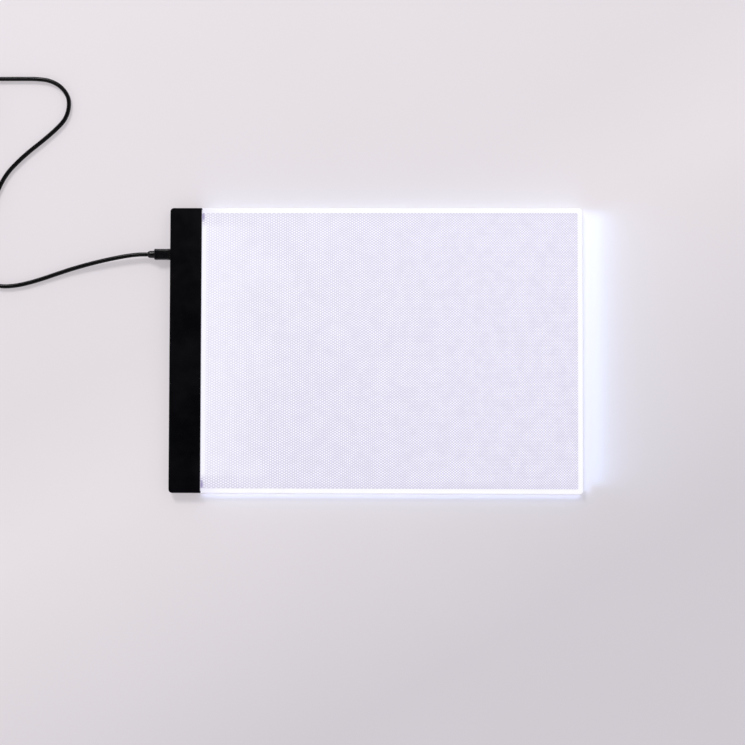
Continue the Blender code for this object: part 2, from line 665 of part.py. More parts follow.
def make_controller(looks):
    board = block((BOARD_LEFT, BOARD_LOW_Y, BOARD_BOTTOM), (BOARD_RIGHT, BOARD_HIGH_Y, BOARD_TOP))
    piece("controller_board", board, looks["board"])

    def component(name, size, share, look):
        half_x = size[0] / 2
        half_y = size[1] / 2
        body = block((-half_x, -half_y, 0), (half_x, half_y, size[2]), edge=COMPONENT_EDGE)
        piece(name, body, looks[look], (BOARD_MIDDLE, below_socket(share), PART_BOTTOM))

    component("touch_chip", (CHIP_WIDTH, CHIP_LENGTH, CHIP_HEIGHT), CHIP_PLACE_SHARE, "chip")
    component(
        "power_transistor", (TRANSISTOR_WIDTH, TRANSISTOR_LENGTH, TRANSISTOR_HEIGHT),
        TRANSISTOR_PLACE_SHARE, "chip",
    )
    component(
        "filter_capacitor", (CAPACITOR_WIDTH, CAPACITOR_LENGTH, CAPACITOR_HEIGHT),
        CAPACITOR_PLACE_SHARE, "capacitor",
    )

    # The coil spring carries the touch field from the board to the bar's roof
    radius = (SPRING_DIAMETER - SPRING_WIRE) / 2
    low = PART_BOTTOM + SPRING_WIRE / 2
    high = ROOF_BOTTOM - FILM_GAP - SPRING_WIRE / 2
    steps = round(SPRING_TURNS * 10)
    middle = Vector((BOARD_MIDDLE, above_socket(SPRING_PLACE_SHARE), 0))
    helix = []
    for step in range(steps + 1):
        angle = math.tau * SPRING_TURNS * step / steps
        rise = low + (high - low) * step / steps
        helix.append(middle + Vector((radius * math.cos(angle), radius * math.sin(angle), rise)))
    tube("touch_spring", helix, SPRING_WIRE, looks["steel"], 1)

    pad_x = BOARD_RIGHT - WIRE_EDGE_INSET
    strip_x = STRIP_BACK - FILM_GAP
    for name, side, look in (("wire_positive", 1, "red"), ("wire_negative", -1, "black")):
        y = wire_middle() + side * WIRE_SPACING / 2
        route = [
            (pad_x, y, PART_BOTTOM),
            (pad_x, y, PART_BOTTOM + WIRE_RISE / 2),
            (pad_x + WIRE_EDGE_INSET / 2, y, PART_BOTTOM + WIRE_RISE),
            (BOARD_RIGHT, y, PART_BOTTOM + WIRE_RISE),
            (strip_x, y, PART_BOTTOM + WIRE_RISE),
        ]
        tube(name, smooth_path(route, WIRE_DIAMETER), WIRE_DIAMETER, looks[look], 1)


def make_socket(looks):
    place = (0, SOCKET_Y, SOCKET_MIDDLE)
    outer = section(SOCKET_WIDTH, SOCKET_HEIGHT, SOCKET_CORNER + SOCKET_WALL)
    inner = section(SOCKET_INNER_WIDTH, SOCKET_INNER_HEIGHT, SOCKET_CORNER)
    body = prism(outer, SOCKET_FRONT, SOCKET_BACK, along="X")
    shell = piece("usb_socket_shell", body, looks["steel"], place)
    bore = prism(inner, SOCKET_FRONT - OVERRUN, SOCKET_BACK + OVERRUN, along="X")
    combine(shell, cutter("socket_bore", bore, place), "DIFFERENCE")

    base_width = SOCKET_INNER_WIDTH - 2 * FILM_GAP
    base_height = SOCKET_INNER_HEIGHT - 2 * FILM_GAP
    base = section(base_width, base_height, SOCKET_CORNER - FILM_GAP)
    tongue = piece(
        "usb_socket_tongue", prism(base, SOCKET_BACK - TONGUE_BASE, SOCKET_BACK, along="X"),
        looks["insert"], place,
    )
    top = MICRO_INNER_HEIGHT / 2 - TONGUE_GAP
    leaf = block(
        (TONGUE_TIP, -TONGUE_WIDTH / 2, top - TONGUE_THICKNESS),
        (SOCKET_BACK - TONGUE_BASE / 2, TONGUE_WIDTH / 2, top),
    )
    combine(tongue, cutter("tongue_leaf", leaf, place), "UNION")


def make_screws(looks):
    shank = SCREW_SHANK_DIAMETER / 2
    head = SCREW_HEAD_DIAMETER / 2
    head_bottom = HEAD_TOP - SCREW_HEAD_HEIGHT
    profile = [
        (0, head_bottom),
        (head, head_bottom),
        (head, HEAD_TOP),
        (shank, HEAD_TOP),
        (shank, ROOF_BOTTOM - SCREW_TIP_GAP - shank),
        (0, ROOF_BOTTOM - SCREW_TIP_GAP),
    ]
    screw = smooth(turned(profile, ROUND_STEPS // 2))
    long = CROSS_LENGTH / 2
    thin = CROSS_WIDTH / 2
    cross = [
        (long, -thin), (long, thin), (thin, thin), (thin, long), (-thin, long), (-thin, thin),
        (-long, thin), (-long, -thin), (-thin, -thin), (-thin, -long), (thin, -long), (thin, -thin),
    ]
    recess = prism(cross, head_bottom - OVERRUN, head_bottom + CROSS_DEPTH)
    recesses = cutter("screw_recesses", several([(recess, (x, y, 0)) for x, y in SCREW_PLACES]))
    for number, (x, y) in enumerate(SCREW_PLACES, 1):
        made = piece(f"case_screw_{number}", screw, looks["screw"], (x, y, 0))
        combine(made, recesses, "DIFFERENCE")


# The cable: two plugs, the cord, its coil and a tie

def make_grip(name, look, width, height, length, corner, neck_length, neck_diameter, frame):
    """A plug's grip with its neck, pointing along its own +X from a face at zero."""
    grip = piece(
        name, prism(section(width, height, corner), -length, 0, along="X", edge=GRIP_EDGE), look
    )
    grip.matrix_world = frame
    tip = CORD_RADIUS + NECK_TIP_WALL
    start = -length + GRIP_EDGE * 2
    profile = [
        (0, start),
        (neck_diameter / 2, start),
        (neck_diameter / 2, -length - neck_length * NECK_STRAIGHT_SHARE),
        (tip, -length - neck_length),
        (0, -length - neck_length),
    ]
    neck = cutter(f"{name}_neck", turned(profile, ROUND_STEPS // 2))
    neck.matrix_world = frame @ Matrix.Rotation(math.pi / 2, 4, "Y")
    combine(grip, neck, "UNION")
    return grip


def hollow_shell(name, look, width, height, wall, corner, low, high, frame):
    shell = piece(name, prism(section(width, height, corner), low, high, along="X"), look)
    shell.matrix_world = frame
    bore = section(width - 2 * wall, height - 2 * wall, max(corner - wall, wall / 2))
    tool = cutter(f"{name}_bore", prism(bore, low - OVERRUN, high + OVERRUN, along="X"))
    tool.matrix_world = frame
    combine(shell, tool, "DIFFERENCE")
    return shell


def pocket(grip, width, height, corner, depth, frame):
    """The hole in a grip that holds the back of its metal shell."""
    hole = section(width + 2 * FIT_GAP, height + 2 * FIT_GAP, corner + FIT_GAP)
    tool = cutter(f"{grip.name}_pocket", prism(hole, -depth - FIT_GAP, OVERRUN, along="X"))
    tool.matrix_world = frame
    combine(grip, tool, "DIFFERENCE")


def make_micro_plug(looks):
    frame = Matrix.Translation((GRIP_FACE, SOCKET_Y, SOCKET_MIDDLE))
    grip = make_grip(
        "micro_plug_grip", looks["grip"], MICRO_GRIP_WIDTH, MICRO_GRIP_HEIGHT, MICRO_GRIP_LENGTH,
        MICRO_GRIP_CORNER, MICRO_NECK_LENGTH, MICRO_NECK_DIAMETER, frame,
    )
    pocket(grip, MICRO_SHELL_WIDTH, MICRO_SHELL_HEIGHT, SOCKET_CORNER, MICRO_SEAT, frame)
    shell = hollow_shell(
        "micro_plug_shell", looks["steel"], MICRO_SHELL_WIDTH, MICRO_SHELL_HEIGHT, MICRO_SHELL_WALL,
        SOCKET_CORNER, -MICRO_SEAT, MICRO_REACH, frame,
    )
    half_width = MICRO_INNER_WIDTH / 2 - FILM_GAP
    bottom = -MICRO_INNER_HEIGHT / 2 + FILM_GAP
    leaf_top = bottom + MICRO_LEAF_THICKNESS
    back = block(
        (-MICRO_SEAT, -half_width + FILM_GAP, bottom), (MICRO_BLOCK_REACH, half_width - FILM_GAP, -bottom)
    )
    insert = piece("micro_plug_insert", back, looks["insert"])
    insert.matrix_world = frame
    leaf = cutter(
        "micro_leaf",
        block(
            (-MICRO_SEAT / 2, -TONGUE_WIDTH / 2, bottom),
            (MICRO_REACH - FIT_GAP, TONGUE_WIDTH / 2, leaf_top),
        ),
    )
    leaf.matrix_world = frame
    combine(insert, leaf, "UNION")
    return [grip, shell, insert]


def make_usb_a_plug(looks, frame):
    grip = make_grip(
        "usb_a_grip", looks["grip"], USB_A_GRIP_WIDTH, USB_A_GRIP_HEIGHT, USB_A_GRIP_LENGTH,
        USB_A_GRIP_CORNER, USB_A_NECK_LENGTH, USB_A_NECK_DIAMETER, frame,
    )
    corner = SOCKET_CORNER
    pocket(grip, USB_A_SHELL_WIDTH, USB_A_SHELL_HEIGHT, corner, USB_A_SEAT, frame)
    shell = hollow_shell(
        "usb_a_shell", looks["steel"], USB_A_SHELL_WIDTH, USB_A_SHELL_HEIGHT, USB_A_SHELL_WALL,
        corner, -USB_A_SEAT, USB_A_SHELL_LENGTH, frame,
    )
    half_width = USB_A_SHELL_WIDTH / 2 - USB_A_SHELL_WALL - FILM_GAP * 2
    bottom = -USB_A_SHELL_HEIGHT / 2 + USB_A_SHELL_WALL + FILM_GAP
    body = block(
        (-USB_A_SEAT, -half_width, bottom),
        (USB_A_SHELL_LENGTH - USB_A_INSERT_RECESS, half_width, bottom + USB_A_INSERT_THICKNESS),
    )
    insert = piece("usb_a_insert", body, looks["insert"])
    insert.matrix_world = frame
    return [grip, shell, insert]


def cord_run_points():
    """The cord from the micro plug to the coil: out of the plug, down, over the table and up to the coil."""
    flat = smooth_path([(x, y, 0) for x, y in CORD_ROUTE], CORD_DIAMETER * CORD_STEP_SHARE)
    steps = [0] + [(b - a).length for a, b in zip(flat, flat[1:])]
    reached = np.cumsum(steps)
    points = []
    for point, along in zip(flat, reached):
        fall = ease((along - CORD_FALL_START) / (CORD_FALL_END - CORD_FALL_START))
        climb = ease(1 - (reached[-1] - along) / CORD_CLIMB)
        height = CORD_EXIT.z + fall * (CORD_HEIGHT - CORD_EXIT.z) + climb * (COIL_LOW - CORD_HEIGHT)
        points.append(Vector((CORD_EXIT.x + point.x, CORD_EXIT.y + point.y, height)))
    return points


def coil_place(turns):
    """A point of the coil after this many turns: in on the lower layer, then out on the upper one."""
    middle = COIL_TURNS_PER_LAYER
    away = turns - middle
    soft = math.sqrt(away**2 + COIL_REVERSAL_SHARE**2)
    full = math.sqrt(middle**2 + COIL_REVERSAL_SHARE**2)
    radius = COIL_OUTER_RADIUS - COIL_PITCH * (full - soft)
    height = COIL_LOW + COIL_PITCH * ease(away / 0.5 + 0.5)
    angle = math.pi / 2 + math.tau * turns
    return COIL_CENTRE + Vector((radius * math.cos(angle), radius * math.sin(angle), height))


def coil_points(per_turn):
    total = 2 * COIL_TURNS_PER_LAYER
    count = round(total * per_turn)
    turns = [total * step / count for step in range(count + 1)]
    return [coil_place(value) for value in turns]


def coil_self_gap():
    """The least clear distance between two turns of the coil."""
    per_turn = 4 * COIL_POINTS_PER_TURN
    rows = np.array([tuple(point) for point in coil_points(per_turn)])
    least = math.inf
    for number, row in enumerate(rows):
        others = rows[number + per_turn // 2:]
        if len(others):
            least = min(least, float(np.sqrt(((others - row) ** 2).sum(axis=1)).min()))
    return least - CORD_DIAMETER


def make_coil_tie(looks):
    """A flat strip round the bundle of turns, in the upright plane through the coil's axis."""
    inner_low = COIL_INNER_RADIUS - CORD_RADIUS - TIE_SIDE_GAP
    inner_high = COIL_OUTER_RADIUS + CORD_RADIUS + TIE_SIDE_GAP
    bottom = COIL_LOW - CORD_RADIUS - CORD_GAP
    top = COIL_HIGH + CORD_RADIUS + CORD_GAP
    hole = rounded_plan((inner_low, bottom), (inner_high, top), [TIE_CORNER - TIE_THICKNESS] * 4)
    strip = rounded_plan(
        (inner_low - TIE_THICKNESS, bottom - TIE_THICKNESS),
        (inner_high + TIE_THICKNESS, top + TIE_THICKNESS),
        [TIE_CORNER] * 4,
    )
    half = TIE_WIDTH / 2
    turn = Matrix.Rotation(TIE_ANGLE - math.pi / 2, 4, "Z")
    frame = Matrix.Translation(COIL_CENTRE) @ turn
    band = piece("coil_tie", prism(strip, -half, half, along="X"), looks["tie"])
    band.matrix_world = frame
    tool = cutter("tie_hole", prism(hole, -half - OVERRUN, half + OVERRUN, along="X"))
    tool.matrix_world = frame
    combine(band, tool, "DIFFERENCE")
    return band


def make_cable(looks):
    pieces = make_micro_plug(looks)
    run = cord_run_points()
    pieces.append(tube("cord_run", run, CORD_DIAMETER, looks["cord"], 2))

    # Both ends of the coil run straight for one diameter, level with their layer
    coil = coil_points(COIL_POINTS_PER_TURN)
    heading = Vector((0, -1, 0))
    lead_in = coil[0] + Vector((CORD_DIAMETER, 0, 0))
    lead_out = coil[-1] + heading * CORD_DIAMETER
    pieces.append(tube("cord_coil", [lead_in, *coil, lead_out], CORD_DIAMETER, looks["cord"], 1))
    pieces.append(make_coil_tie(looks))

    start = lead_out + heading * CORD_GAP
    neck = start + heading * COIL_TAIL
    count = max(2, round(COIL_TAIL / (CORD_DIAMETER * CORD_STEP_SHARE) * 2))
    tail = []
    for step in range(count + 1):
        share = step / count
        point = start + (neck - start) * share
        point.z = start.z + ease(share) * (USB_A_MIDDLE - start.z)
        tail.append(point)
    pieces.append(tube("cord_end", tail, CORD_DIAMETER, looks["cord"], 2))

    face = neck + heading * (CORD_GAP + USB_A_NECK_LENGTH + USB_A_GRIP_LENGTH)
    frame = Matrix.Translation((face.x, face.y, USB_A_MIDDLE)) @ Matrix.Rotation(-math.pi / 2, 4, "Z")
    pieces += make_usb_a_plug(looks, frame)

    # The plug slides out of the socket along this empty's X axis
    slide = bpy.data.objects.new("cable_slide", None)
    slide.location = (BAR_LEFT, SOCKET_Y, SOCKET_MIDDLE)
    bpy.context.scene.collection.objects.link(slide)
    for made in pieces:
        made.parent = slide
        made.matrix_parent_inverse = Matrix.Translation(slide.location).inverted()
    whole = [*run, lead_in, *coil, lead_out, *tail]
    length = sum((b - a).length for a, b in zip(whole, whole[1:]))
    print(f"cord length {length:.3f} m, coil gap to itself {coil_self_gap() * 1000:.2f} mm")


def main():
    for old in list(bpy.data.objects):
        bpy.data.objects.remove(old, do_unlink=True)
    looks = make_materials()
    make_shells(looks)
    make_panel(looks)
    make_feet(looks)
    make_led_strip(looks)
    make_controller(looks)
    make_socket(looks)
    make_screws(looks)
    make_cable(looks)


main()
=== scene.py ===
import math

import bmesh
import bpy
from mathutils import Euler, Matrix, Vector


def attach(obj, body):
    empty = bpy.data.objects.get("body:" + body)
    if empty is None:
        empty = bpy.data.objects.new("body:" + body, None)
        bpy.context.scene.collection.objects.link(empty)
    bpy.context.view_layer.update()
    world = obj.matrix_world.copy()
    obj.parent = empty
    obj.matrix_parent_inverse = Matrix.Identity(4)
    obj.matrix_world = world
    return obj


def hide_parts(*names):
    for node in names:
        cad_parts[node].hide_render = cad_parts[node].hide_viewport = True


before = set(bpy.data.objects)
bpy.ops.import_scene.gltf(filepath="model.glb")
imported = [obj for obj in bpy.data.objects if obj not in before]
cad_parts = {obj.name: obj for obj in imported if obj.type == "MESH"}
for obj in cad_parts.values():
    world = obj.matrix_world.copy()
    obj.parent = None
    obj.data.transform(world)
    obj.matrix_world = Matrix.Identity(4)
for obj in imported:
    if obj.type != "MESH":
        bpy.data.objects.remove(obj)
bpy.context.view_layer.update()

scene = bpy.context.scene
print("stage: frame loaded")


def link(ob):
    scene.collection.objects.link(ob)
    return ob


# The camera looks down on the pad, a little from its -Y side
cameraPlan = {
    "place": (0.0087, -0.04485, 0.94188),
    "turn": (1.632, 0.689, 0.133),
    "lens": 55.0,
}
cameraData = bpy.data.cameras.new("photoCamera")
cameraData.lens = cameraPlan["lens"]
cameraData.clip_start = 0.01
cameraData.clip_end = 50.0
camera = link(bpy.data.objects.new("photoCamera", cameraData))
camera.location = cameraPlan["place"]
camera.rotation_euler = Euler([math.radians(a) for a in cameraPlan["turn"]])
scene.camera = camera


# Shader helpers

class Amount:
    # a number in a node tree, so that a sum on it reads like any other
    def __init__(self, tree, socket):
        self.tree, self.socket = tree, socket

    def __add__(self, other):
        return sums(self.tree, "ADD", self, other)

    def __sub__(self, other):
        return sums(self.tree, "SUBTRACT", self, other)

    def __rsub__(self, other):
        return sums(self.tree, "SUBTRACT", other, self)

    def __mul__(self, other):
        return sums(self.tree, "MULTIPLY", self, other)

    def __truediv__(self, other):
        return sums(self.tree, "DIVIDE", self, other)

    def __abs__(self):
        return sums(self.tree, "ABSOLUTE", self)


def feed(tree, node, feeds):
    # links each input of a node, or gives it a value
    for name, value in feeds.items():
        value = value.socket if isinstance(value, Amount) else value
        if isinstance(value, bpy.types.NodeSocket):
            tree.links.new(value, node.inputs[name])
        else:
            node.inputs[name].default_value = value


def addNode(tree, kind, feeds=None, **settings):
    made = tree.nodes.new(kind)
    for key, value in settings.items():
        setattr(made, key, value)
    feed(tree, made, feeds or {})
    return made


def newLook(name, colour, roughness, metallic=0.0, specular=0.5):
    look = bpy.data.materials.new(name)
    look.use_nodes = True
    look.diffuse_color = (*colour, 1.0)
    shader = look.node_tree.nodes["Principled BSDF"]
    feed(look.node_tree, shader, {
        "Base Color": (*colour, 1.0), "Roughness": roughness,
        "Metallic": metallic, "Specular IOR Level": specular,
    })
    return look, look.node_tree, shader


def objectPoint(tree, stretch=(1, 1, 1)):
    # Object coordinates in metres, stretched where a pattern runs one way
    point = addNode(tree, "ShaderNodeTexCoord").outputs["Object"]
    return addNode(tree, "ShaderNodeMapping", {"Vector": point, "Scale": stretch}).outputs["Vector"]


def noise(tree, scale, detail=3.0, rough=0.5, stretch=(1, 1, 1)):
    feeds = {"Scale": scale, "Detail": detail, "Roughness": rough, "Vector": objectPoint(tree, stretch)}
    return Amount(tree, addNode(tree, "ShaderNodeTexNoise", feeds).outputs["Fac"])


def cells(tree, scale, stretch=(1, 1, 1)):
    feeds = {"Scale": scale, "Vector": objectPoint(tree, stretch)}
    return Amount(tree, addNode(tree, "ShaderNodeTexVoronoi", feeds).outputs["Distance"])


def ranged(tree, value, fromLow, fromHigh, toLow=0.0, toHigh=1.0, smooth=False):
    feeds = {"Value": value, "From Min": fromLow, "From Max": fromHigh, "To Min": toLow, "To Max": toHigh}
    way = "SMOOTHSTEP" if smooth else "LINEAR"
    made = addNode(tree, "ShaderNodeMapRange", feeds, clamp=True, interpolation_type=way)
    return Amount(tree, made.outputs["Result"])


def sums(tree, operation, *values):
    made = addNode(tree, "ShaderNodeMath", dict(enumerate(values)), operation=operation)
    return Amount(tree, made.outputs["Value"])


def blended(tree, factor, first, second):
    first, second = ((*value, 1.0) if isinstance(value, tuple) else value for value in (first, second))
    feeds = {"Factor": factor, 6: first, 7: second}
    return addNode(tree, "ShaderNodeMix", feeds, data_type="RGBA").outputs[2]


def relief(tree, height, distance, strength, before=None):
    feeds = {"Distance": distance, "Strength": strength, "Height": height}
    if before is not None:
        feeds["Normal"] = before
    return addNode(tree, "ShaderNodeBump", feeds).outputs["Normal"]


def grained(tree, shader, height, distance, strength, before=None):
    feed(tree, shader, {"Normal": relief(tree, height, distance, strength, before)})


def roughened(tree, shader, value, low, high):
    feed(tree, shader, {"Roughness": ranged(tree, value, 0.3, 0.7, low, high)})


def glowing(tree, shader, colour, strength=1.0):
    feed(tree, shader, {"Emission Color": colour, "Emission Strength": strength})


def axes(tree):
    # how far along X and Y each point lies
    parts = addNode(tree, "ShaderNodeSeparateXYZ", {"Vector": objectPoint(tree)})
    return [Amount(tree, parts.outputs[name]) for name in "XY"]


def mottled(tree, shader, low, high, scale, roughLow, roughHigh, detail=3.0):
    # colour and roughness that wander a little over the surface
    wander = noise(tree, scale, detail, 0.55)
    feed(tree, shader, {"Base Color": blended(tree, ranged(tree, wander, 0.3, 0.7), low, high)})
    roughened(tree, shader, wander, roughLow, roughHigh)


def patterned(
    name, low, high, scale, roughs, grain, depth, strength=0.5, metallic=0.0, specular=0.5, pattern=noise,
):
    # a mottled finish over a fine grain, which is given as its pattern's settings
    middle = tuple((a + b) / 2 for a, b in zip(low, high))
    look, tree, shader = newLook(name, middle, sum(roughs) / 2, metallic, specular)
    mottled(tree, shader, low, high, scale, *roughs)
    grained(tree, shader, pattern(tree, *grain), depth, strength)
    return look


# Mesh helpers

def meshFrom(bm, recalc=True):
    if recalc:
        bmesh.ops.recalc_face_normals(bm, faces=bm.faces)
    mesh = bpy.data.meshes.new("mesh")
    bm.to_mesh(mesh)
    bm.free()
    return mesh


def shaded(mesh, degrees):
    mesh.shade_smooth()
    mesh.set_sharp_from_angle(angle=math.radians(degrees))
    return mesh


def roundedPlan(low, high, radii, steps):
    # corners run anticlockwise from the lowest one
    corners = [low, (high[0], low[1]), high, (low[0], high[1])]
    inward = [(1, 1), (-1, 1), (-1, -1), (1, -1)]
    points = []
    for number, (corner, way, radius) in enumerate(zip(corners, inward, radii)):
        radius = max(radius, 1e-5)
        start = math.pi + number * math.pi / 2
        for step in range(steps + 1):
            a = start + math.pi / 2 * step / steps
            centre = (corner[0] + way[0] * radius, corner[1] + way[1] * radius)
            points.append((centre[0] + radius * math.cos(a), centre[1] + radius * math.sin(a)))
    return points


def insetPlan(plan, inset, radii, steps):
    # the outline between a piece's left and right, drawn in on every side
    low = (plan["left"] + inset, inset - plan["half"])
    high = (plan["right"] - inset, plan["half"] - inset)
    return roundedPlan(low, high, radii, steps)


def loftRings(rings, closed=False):
    # every ring holds as many points, and the first and last are filled unless the loft runs round
    bm = bmesh.new()
    loops = [[bm.verts.new(point) for point in ring] for ring in rings]
    pairs = list(zip(loops, loops[1:])) + ([(loops[-1], loops[0])] if closed else [])
    count = len(loops[0])
    for lower, upper in pairs:
        for i in range(count):
            j = (i + 1) % count
            bm.faces.new((lower[i], lower[j], upper[j], upper[i]))
    if not closed:
        bm.faces.new(list(reversed(loops[0])))
        bm.faces.new(loops[-1])
    return meshFrom(bm)


def rimSteps(edge, steps):
    # (inset, drop) pairs of a quarter round
    turns = [math.pi / 2 * step / steps for step in range(steps + 1)]
    return [(edge * (1 - math.sin(t)), edge * (1 - math.cos(t))) for t in turns]


def slab(plan, low, high, edgeLow, edgeHigh, steps):
    # plan(inset) draws the outline, and the two rims are rounded
    levels = [(inset, low + drop) for inset, drop in rimSteps(edgeLow, steps)]
    levels += [(inset, high - drop) for inset, drop in reversed(rimSteps(edgeHigh, steps))]
    return loftRings([[(x, y, z) for x, y in plan(inset)] for inset, z in levels])


def turned(profile, steps):
    # a round piece from (radius, height) points, closed on its axis at both ends
    bm = bmesh.new()
    rings = []
    for radius, height in profile:
        angles = [math.tau * step / steps for step in range(steps)] if radius > 0 else [0.0]
        rings.append([bm.verts.new((radius * math.cos(a), radius * math.sin(a), height)) for a in angles])
    for lower, upper in zip(rings, rings[1:]):
        for i in range(steps):
            j = (i + 1) % steps
            below, above = len(lower), len(upper)
            face = [lower[i % below], lower[j % below], upper[j % above], upper[i % above]]
            bm.faces.new(list(dict.fromkeys(face)))
    return meshFrom(bm)


def discProfile(radius, low, high, edgeLow, edgeHigh, steps=5):
    points = [(0.0, low)]
    points += [(radius - inset, low + drop) for inset, drop in rimSteps(edgeLow, steps)]
    points += [(radius - inset, high - drop) for inset, drop in reversed(rimSteps(edgeHigh, steps))]
    return points + [(0.0, high)]


def moved(mesh, where):
    mesh.transform(where if isinstance(where, Matrix) else Matrix.Translation(where))
    return mesh


def joined(meshes):
    bm = bmesh.new()
    for mesh in meshes:
        bm.from_mesh(mesh)
    return meshFrom(bm, recalc=False)


def workOn(mesh):
    return link(bpy.data.objects.new("work", mesh))


def settled(*objects):
    # the first object's mesh with its modifiers applied, and the objects go
    depsgraph = bpy.context.evaluated_depsgraph_get()
    depsgraph.update()
    mesh = bpy.data.meshes.new_from_object(objects[0].evaluated_get(depsgraph), depsgraph=depsgraph)
    for ob in objects:
        bpy.data.objects.remove(ob, do_unlink=True)
    return mesh


def carved(mesh, *steps):
    # cuts away or joins the tool meshes in turn
    work = workOn(mesh)
    tools = []
    for operation, toolMesh in steps:
        tools.append(workOn(toolMesh))
        cut = work.modifiers.new("cut", "BOOLEAN")
        cut.operation = operation
        cut.solver = "EXACT"
        cut.object = tools[-1]
    return settled(work, *tools)


def weighted(mesh, degrees=35):
    # flat faces stay flat beside smooth roundings
    work = workOn(shaded(mesh, degrees))
    step = work.modifiers.new("weight", "WEIGHTED_NORMAL")
    step.keep_sharp = True
    step.weight = 60
    return settled(work)


def finished(name, mesh, looks, body, nodes=()):
    mesh.name = name
    mesh.materials.clear()
    for look in looks if isinstance(looks, list) else [looks]:
        mesh.materials.append(look)
    ob = link(bpy.data.objects.new(name, mesh))
    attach(ob, body)
    if nodes:
        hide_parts(*nodes)
    return ob


# The cord leaves the plug, comes down to the table and ends in a tied coil by the far plug
cordPlan = {
    "diameter": 0.0035, "sides": 16, "spacing": 0.0016,
    "exit": Vector((-0.1890, 0.0793, 0.004625)),
    "restHeight": 0.00195,
    "fall": (0.008, 0.090),
    "climb": 0.020,
    "intoPlug": 0.0015,
    "coilCentre": Vector((-0.3515, 0.200375, 0.0)), "coilOuter": 0.026325, "coilPitch": 0.0042,
    "coilTurns": 2.625,  # on each layer
    "turnSteps": 72,
    "coilLow": 0.00275,
    "reversal": 0.15,
    "tail": 0.019,
    "farHeight": 0.0042,
    "gap": 0.0003,
}
cordRoute = [  # tenths of a millimetre from where the cord leaves the plug
    (0, 0), (-80, -2), (-175, -13), (-285, -33), (-402, -58), (-520, -87), (-635, -119),
    (-750, -156), (-863, -194), (-960, -224), (-1050, -247), (-1140, -261), (-1225, -262), (-1305, -242),
    (-1368, -190), (-1402, -110), (-1408, -10), (-1386, 130), (-1351, 275), (-1303, 430), (-1240, 585),
    (-1178, 688), (-1094, 780), (-998, 867), (-886, 958), (-784, 1048), (-711, 1131), (-678, 1224),
    (-684, 1320), (-744, 1405), (-835, 1455), (-940, 1472), (-1060, 1474), (-1200, 1474), (-1340, 1474),
    (-1480, 1474), (-1587, 1474),
]


def ease(share):
    share = min(1.0, max(0.0, share))
    return share * share * (3 - 2 * share)


def smoothLine(points, parts=12):
    # a smooth line through every point
    known = [2 * points[0] - points[1], *points, 2 * points[-1] - points[-2]]
    line = []
    for before, start, end, after in zip(known, known[1:], known[2:], known[3:]):
        for part in range(parts):
            t = part / parts
            line.append(0.5 * (
                2 * start + (end - before) * t + (2 * before - 5 * start + 4 * end - after) * t**2
                + (3 * start - before - 3 * end + after) * t**3
            ))
    return line + [points[-1]]


def lengthsAlong(line):
    reached = [0.0]
    for a, b in zip(line, line[1:]):
        reached.append(reached[-1] + (b - a).length)
    return reached


def evenly(line, spacing):
    # the same line, with points at even steps
    reached = lengthsAlong(line)
    count = round(reached[-1] / spacing)
    result = []
    at = 0
    for number in range(count + 1):
        wanted = reached[-1] * number / count
        while at < len(line) - 2 and reached[at + 1] < wanted:
            at += 1
        step = reached[at + 1] - reached[at]
        result.append(line[at].lerp(line[at + 1], (wanted - reached[at]) / step if step else 0.0))
    return result


def coilPlace(plan, turns):
    # distance from the coil's axis and height, so many turns into it
    away = turns - plan["coilTurns"]
    bend = plan["reversal"]
    drawnIn = math.hypot(plan["coilTurns"], bend) - math.hypot(away, bend)
    height = plan["coilLow"] + plan["coilPitch"] * ease(away / 0.5 + 0.5)
    return plan["coilOuter"] - plan["coilPitch"] * drawnIn, height


def cordLine(plan):
    points = [Vector((x / 10000, y / 10000, 0)) for x, y in cordRoute]
    flat = evenly(smoothLine(points), plan["spacing"])
    lengths = lengthsAlong(flat)
    exitPoint = plan["exit"]
    start, end = plan["fall"]
    line = [exitPoint + Vector((plan["intoPlug"], 0, 0))]
    for point, along in zip(flat, lengths):
        fall = ease((along - start) / (end - start))
        climb = ease(1 - (lengths[-1] - along) / plan["climb"])
        height = exitPoint.z + fall * (plan["restHeight"] - exitPoint.z)
        height += climb * (plan["coilLow"] - plan["restHeight"])
        line.append(Vector((exitPoint.x + point.x, exitPoint.y + point.y, height)))
    count = round(2 * plan["coilTurns"] * plan["turnSteps"])
    for number in range(count + 1):
        turns = 2 * plan["coilTurns"] * number / count
        radius, height = coilPlace(plan, turns)
        angle = math.pi / 2 + math.tau * turns
        line.append(plan["coilCentre"] + Vector((radius * math.cos(angle), radius * math.sin(angle), height)))
    # straight for a diameter, then down or up to the far plug's middle
    down = Vector((0, -1, 0))
    line.append(line[-1] + down * plan["diameter"])
    begin = line[-1] + down * plan["gap"]
    steps = round(plan["tail"] / plan["spacing"])
    for number in range(steps + 1):
        share = number / steps
        point = begin + down * plan["tail"] * share
        point.z = begin.z + ease(share) * (plan["farHeight"] - begin.z)
        line.append(point)
    line.append(line[-1] + down * (plan["gap"] + plan["intoPlug"]))
    return line


def tubeAlong(line, diameter, sides):
    # one closed tube that doesn't twist
    tangents = []
    for number in range(len(line)):
        before = line[max(0, number - 1)]
        after = line[min(len(line) - 1, number + 1)]
        tangents.append((after - before).normalized())
    side = Vector((0, 0, 1)).cross(tangents[0]).normalized()
    rings = []
    for number, (point, tangent) in enumerate(zip(line, tangents)):
        side = (side - tangent * side.dot(tangent)).normalized()
        up = tangent.cross(side)
        angles = [math.tau * (step + 0.5) / sides for step in range(sides)]
        rings.append([point + (side * math.cos(a) + up * math.sin(a)) * diameter / 2 for a in angles])
    return loftRings(rings)


cordCentre = evenly(cordLine(cordPlan), cordPlan["spacing"])


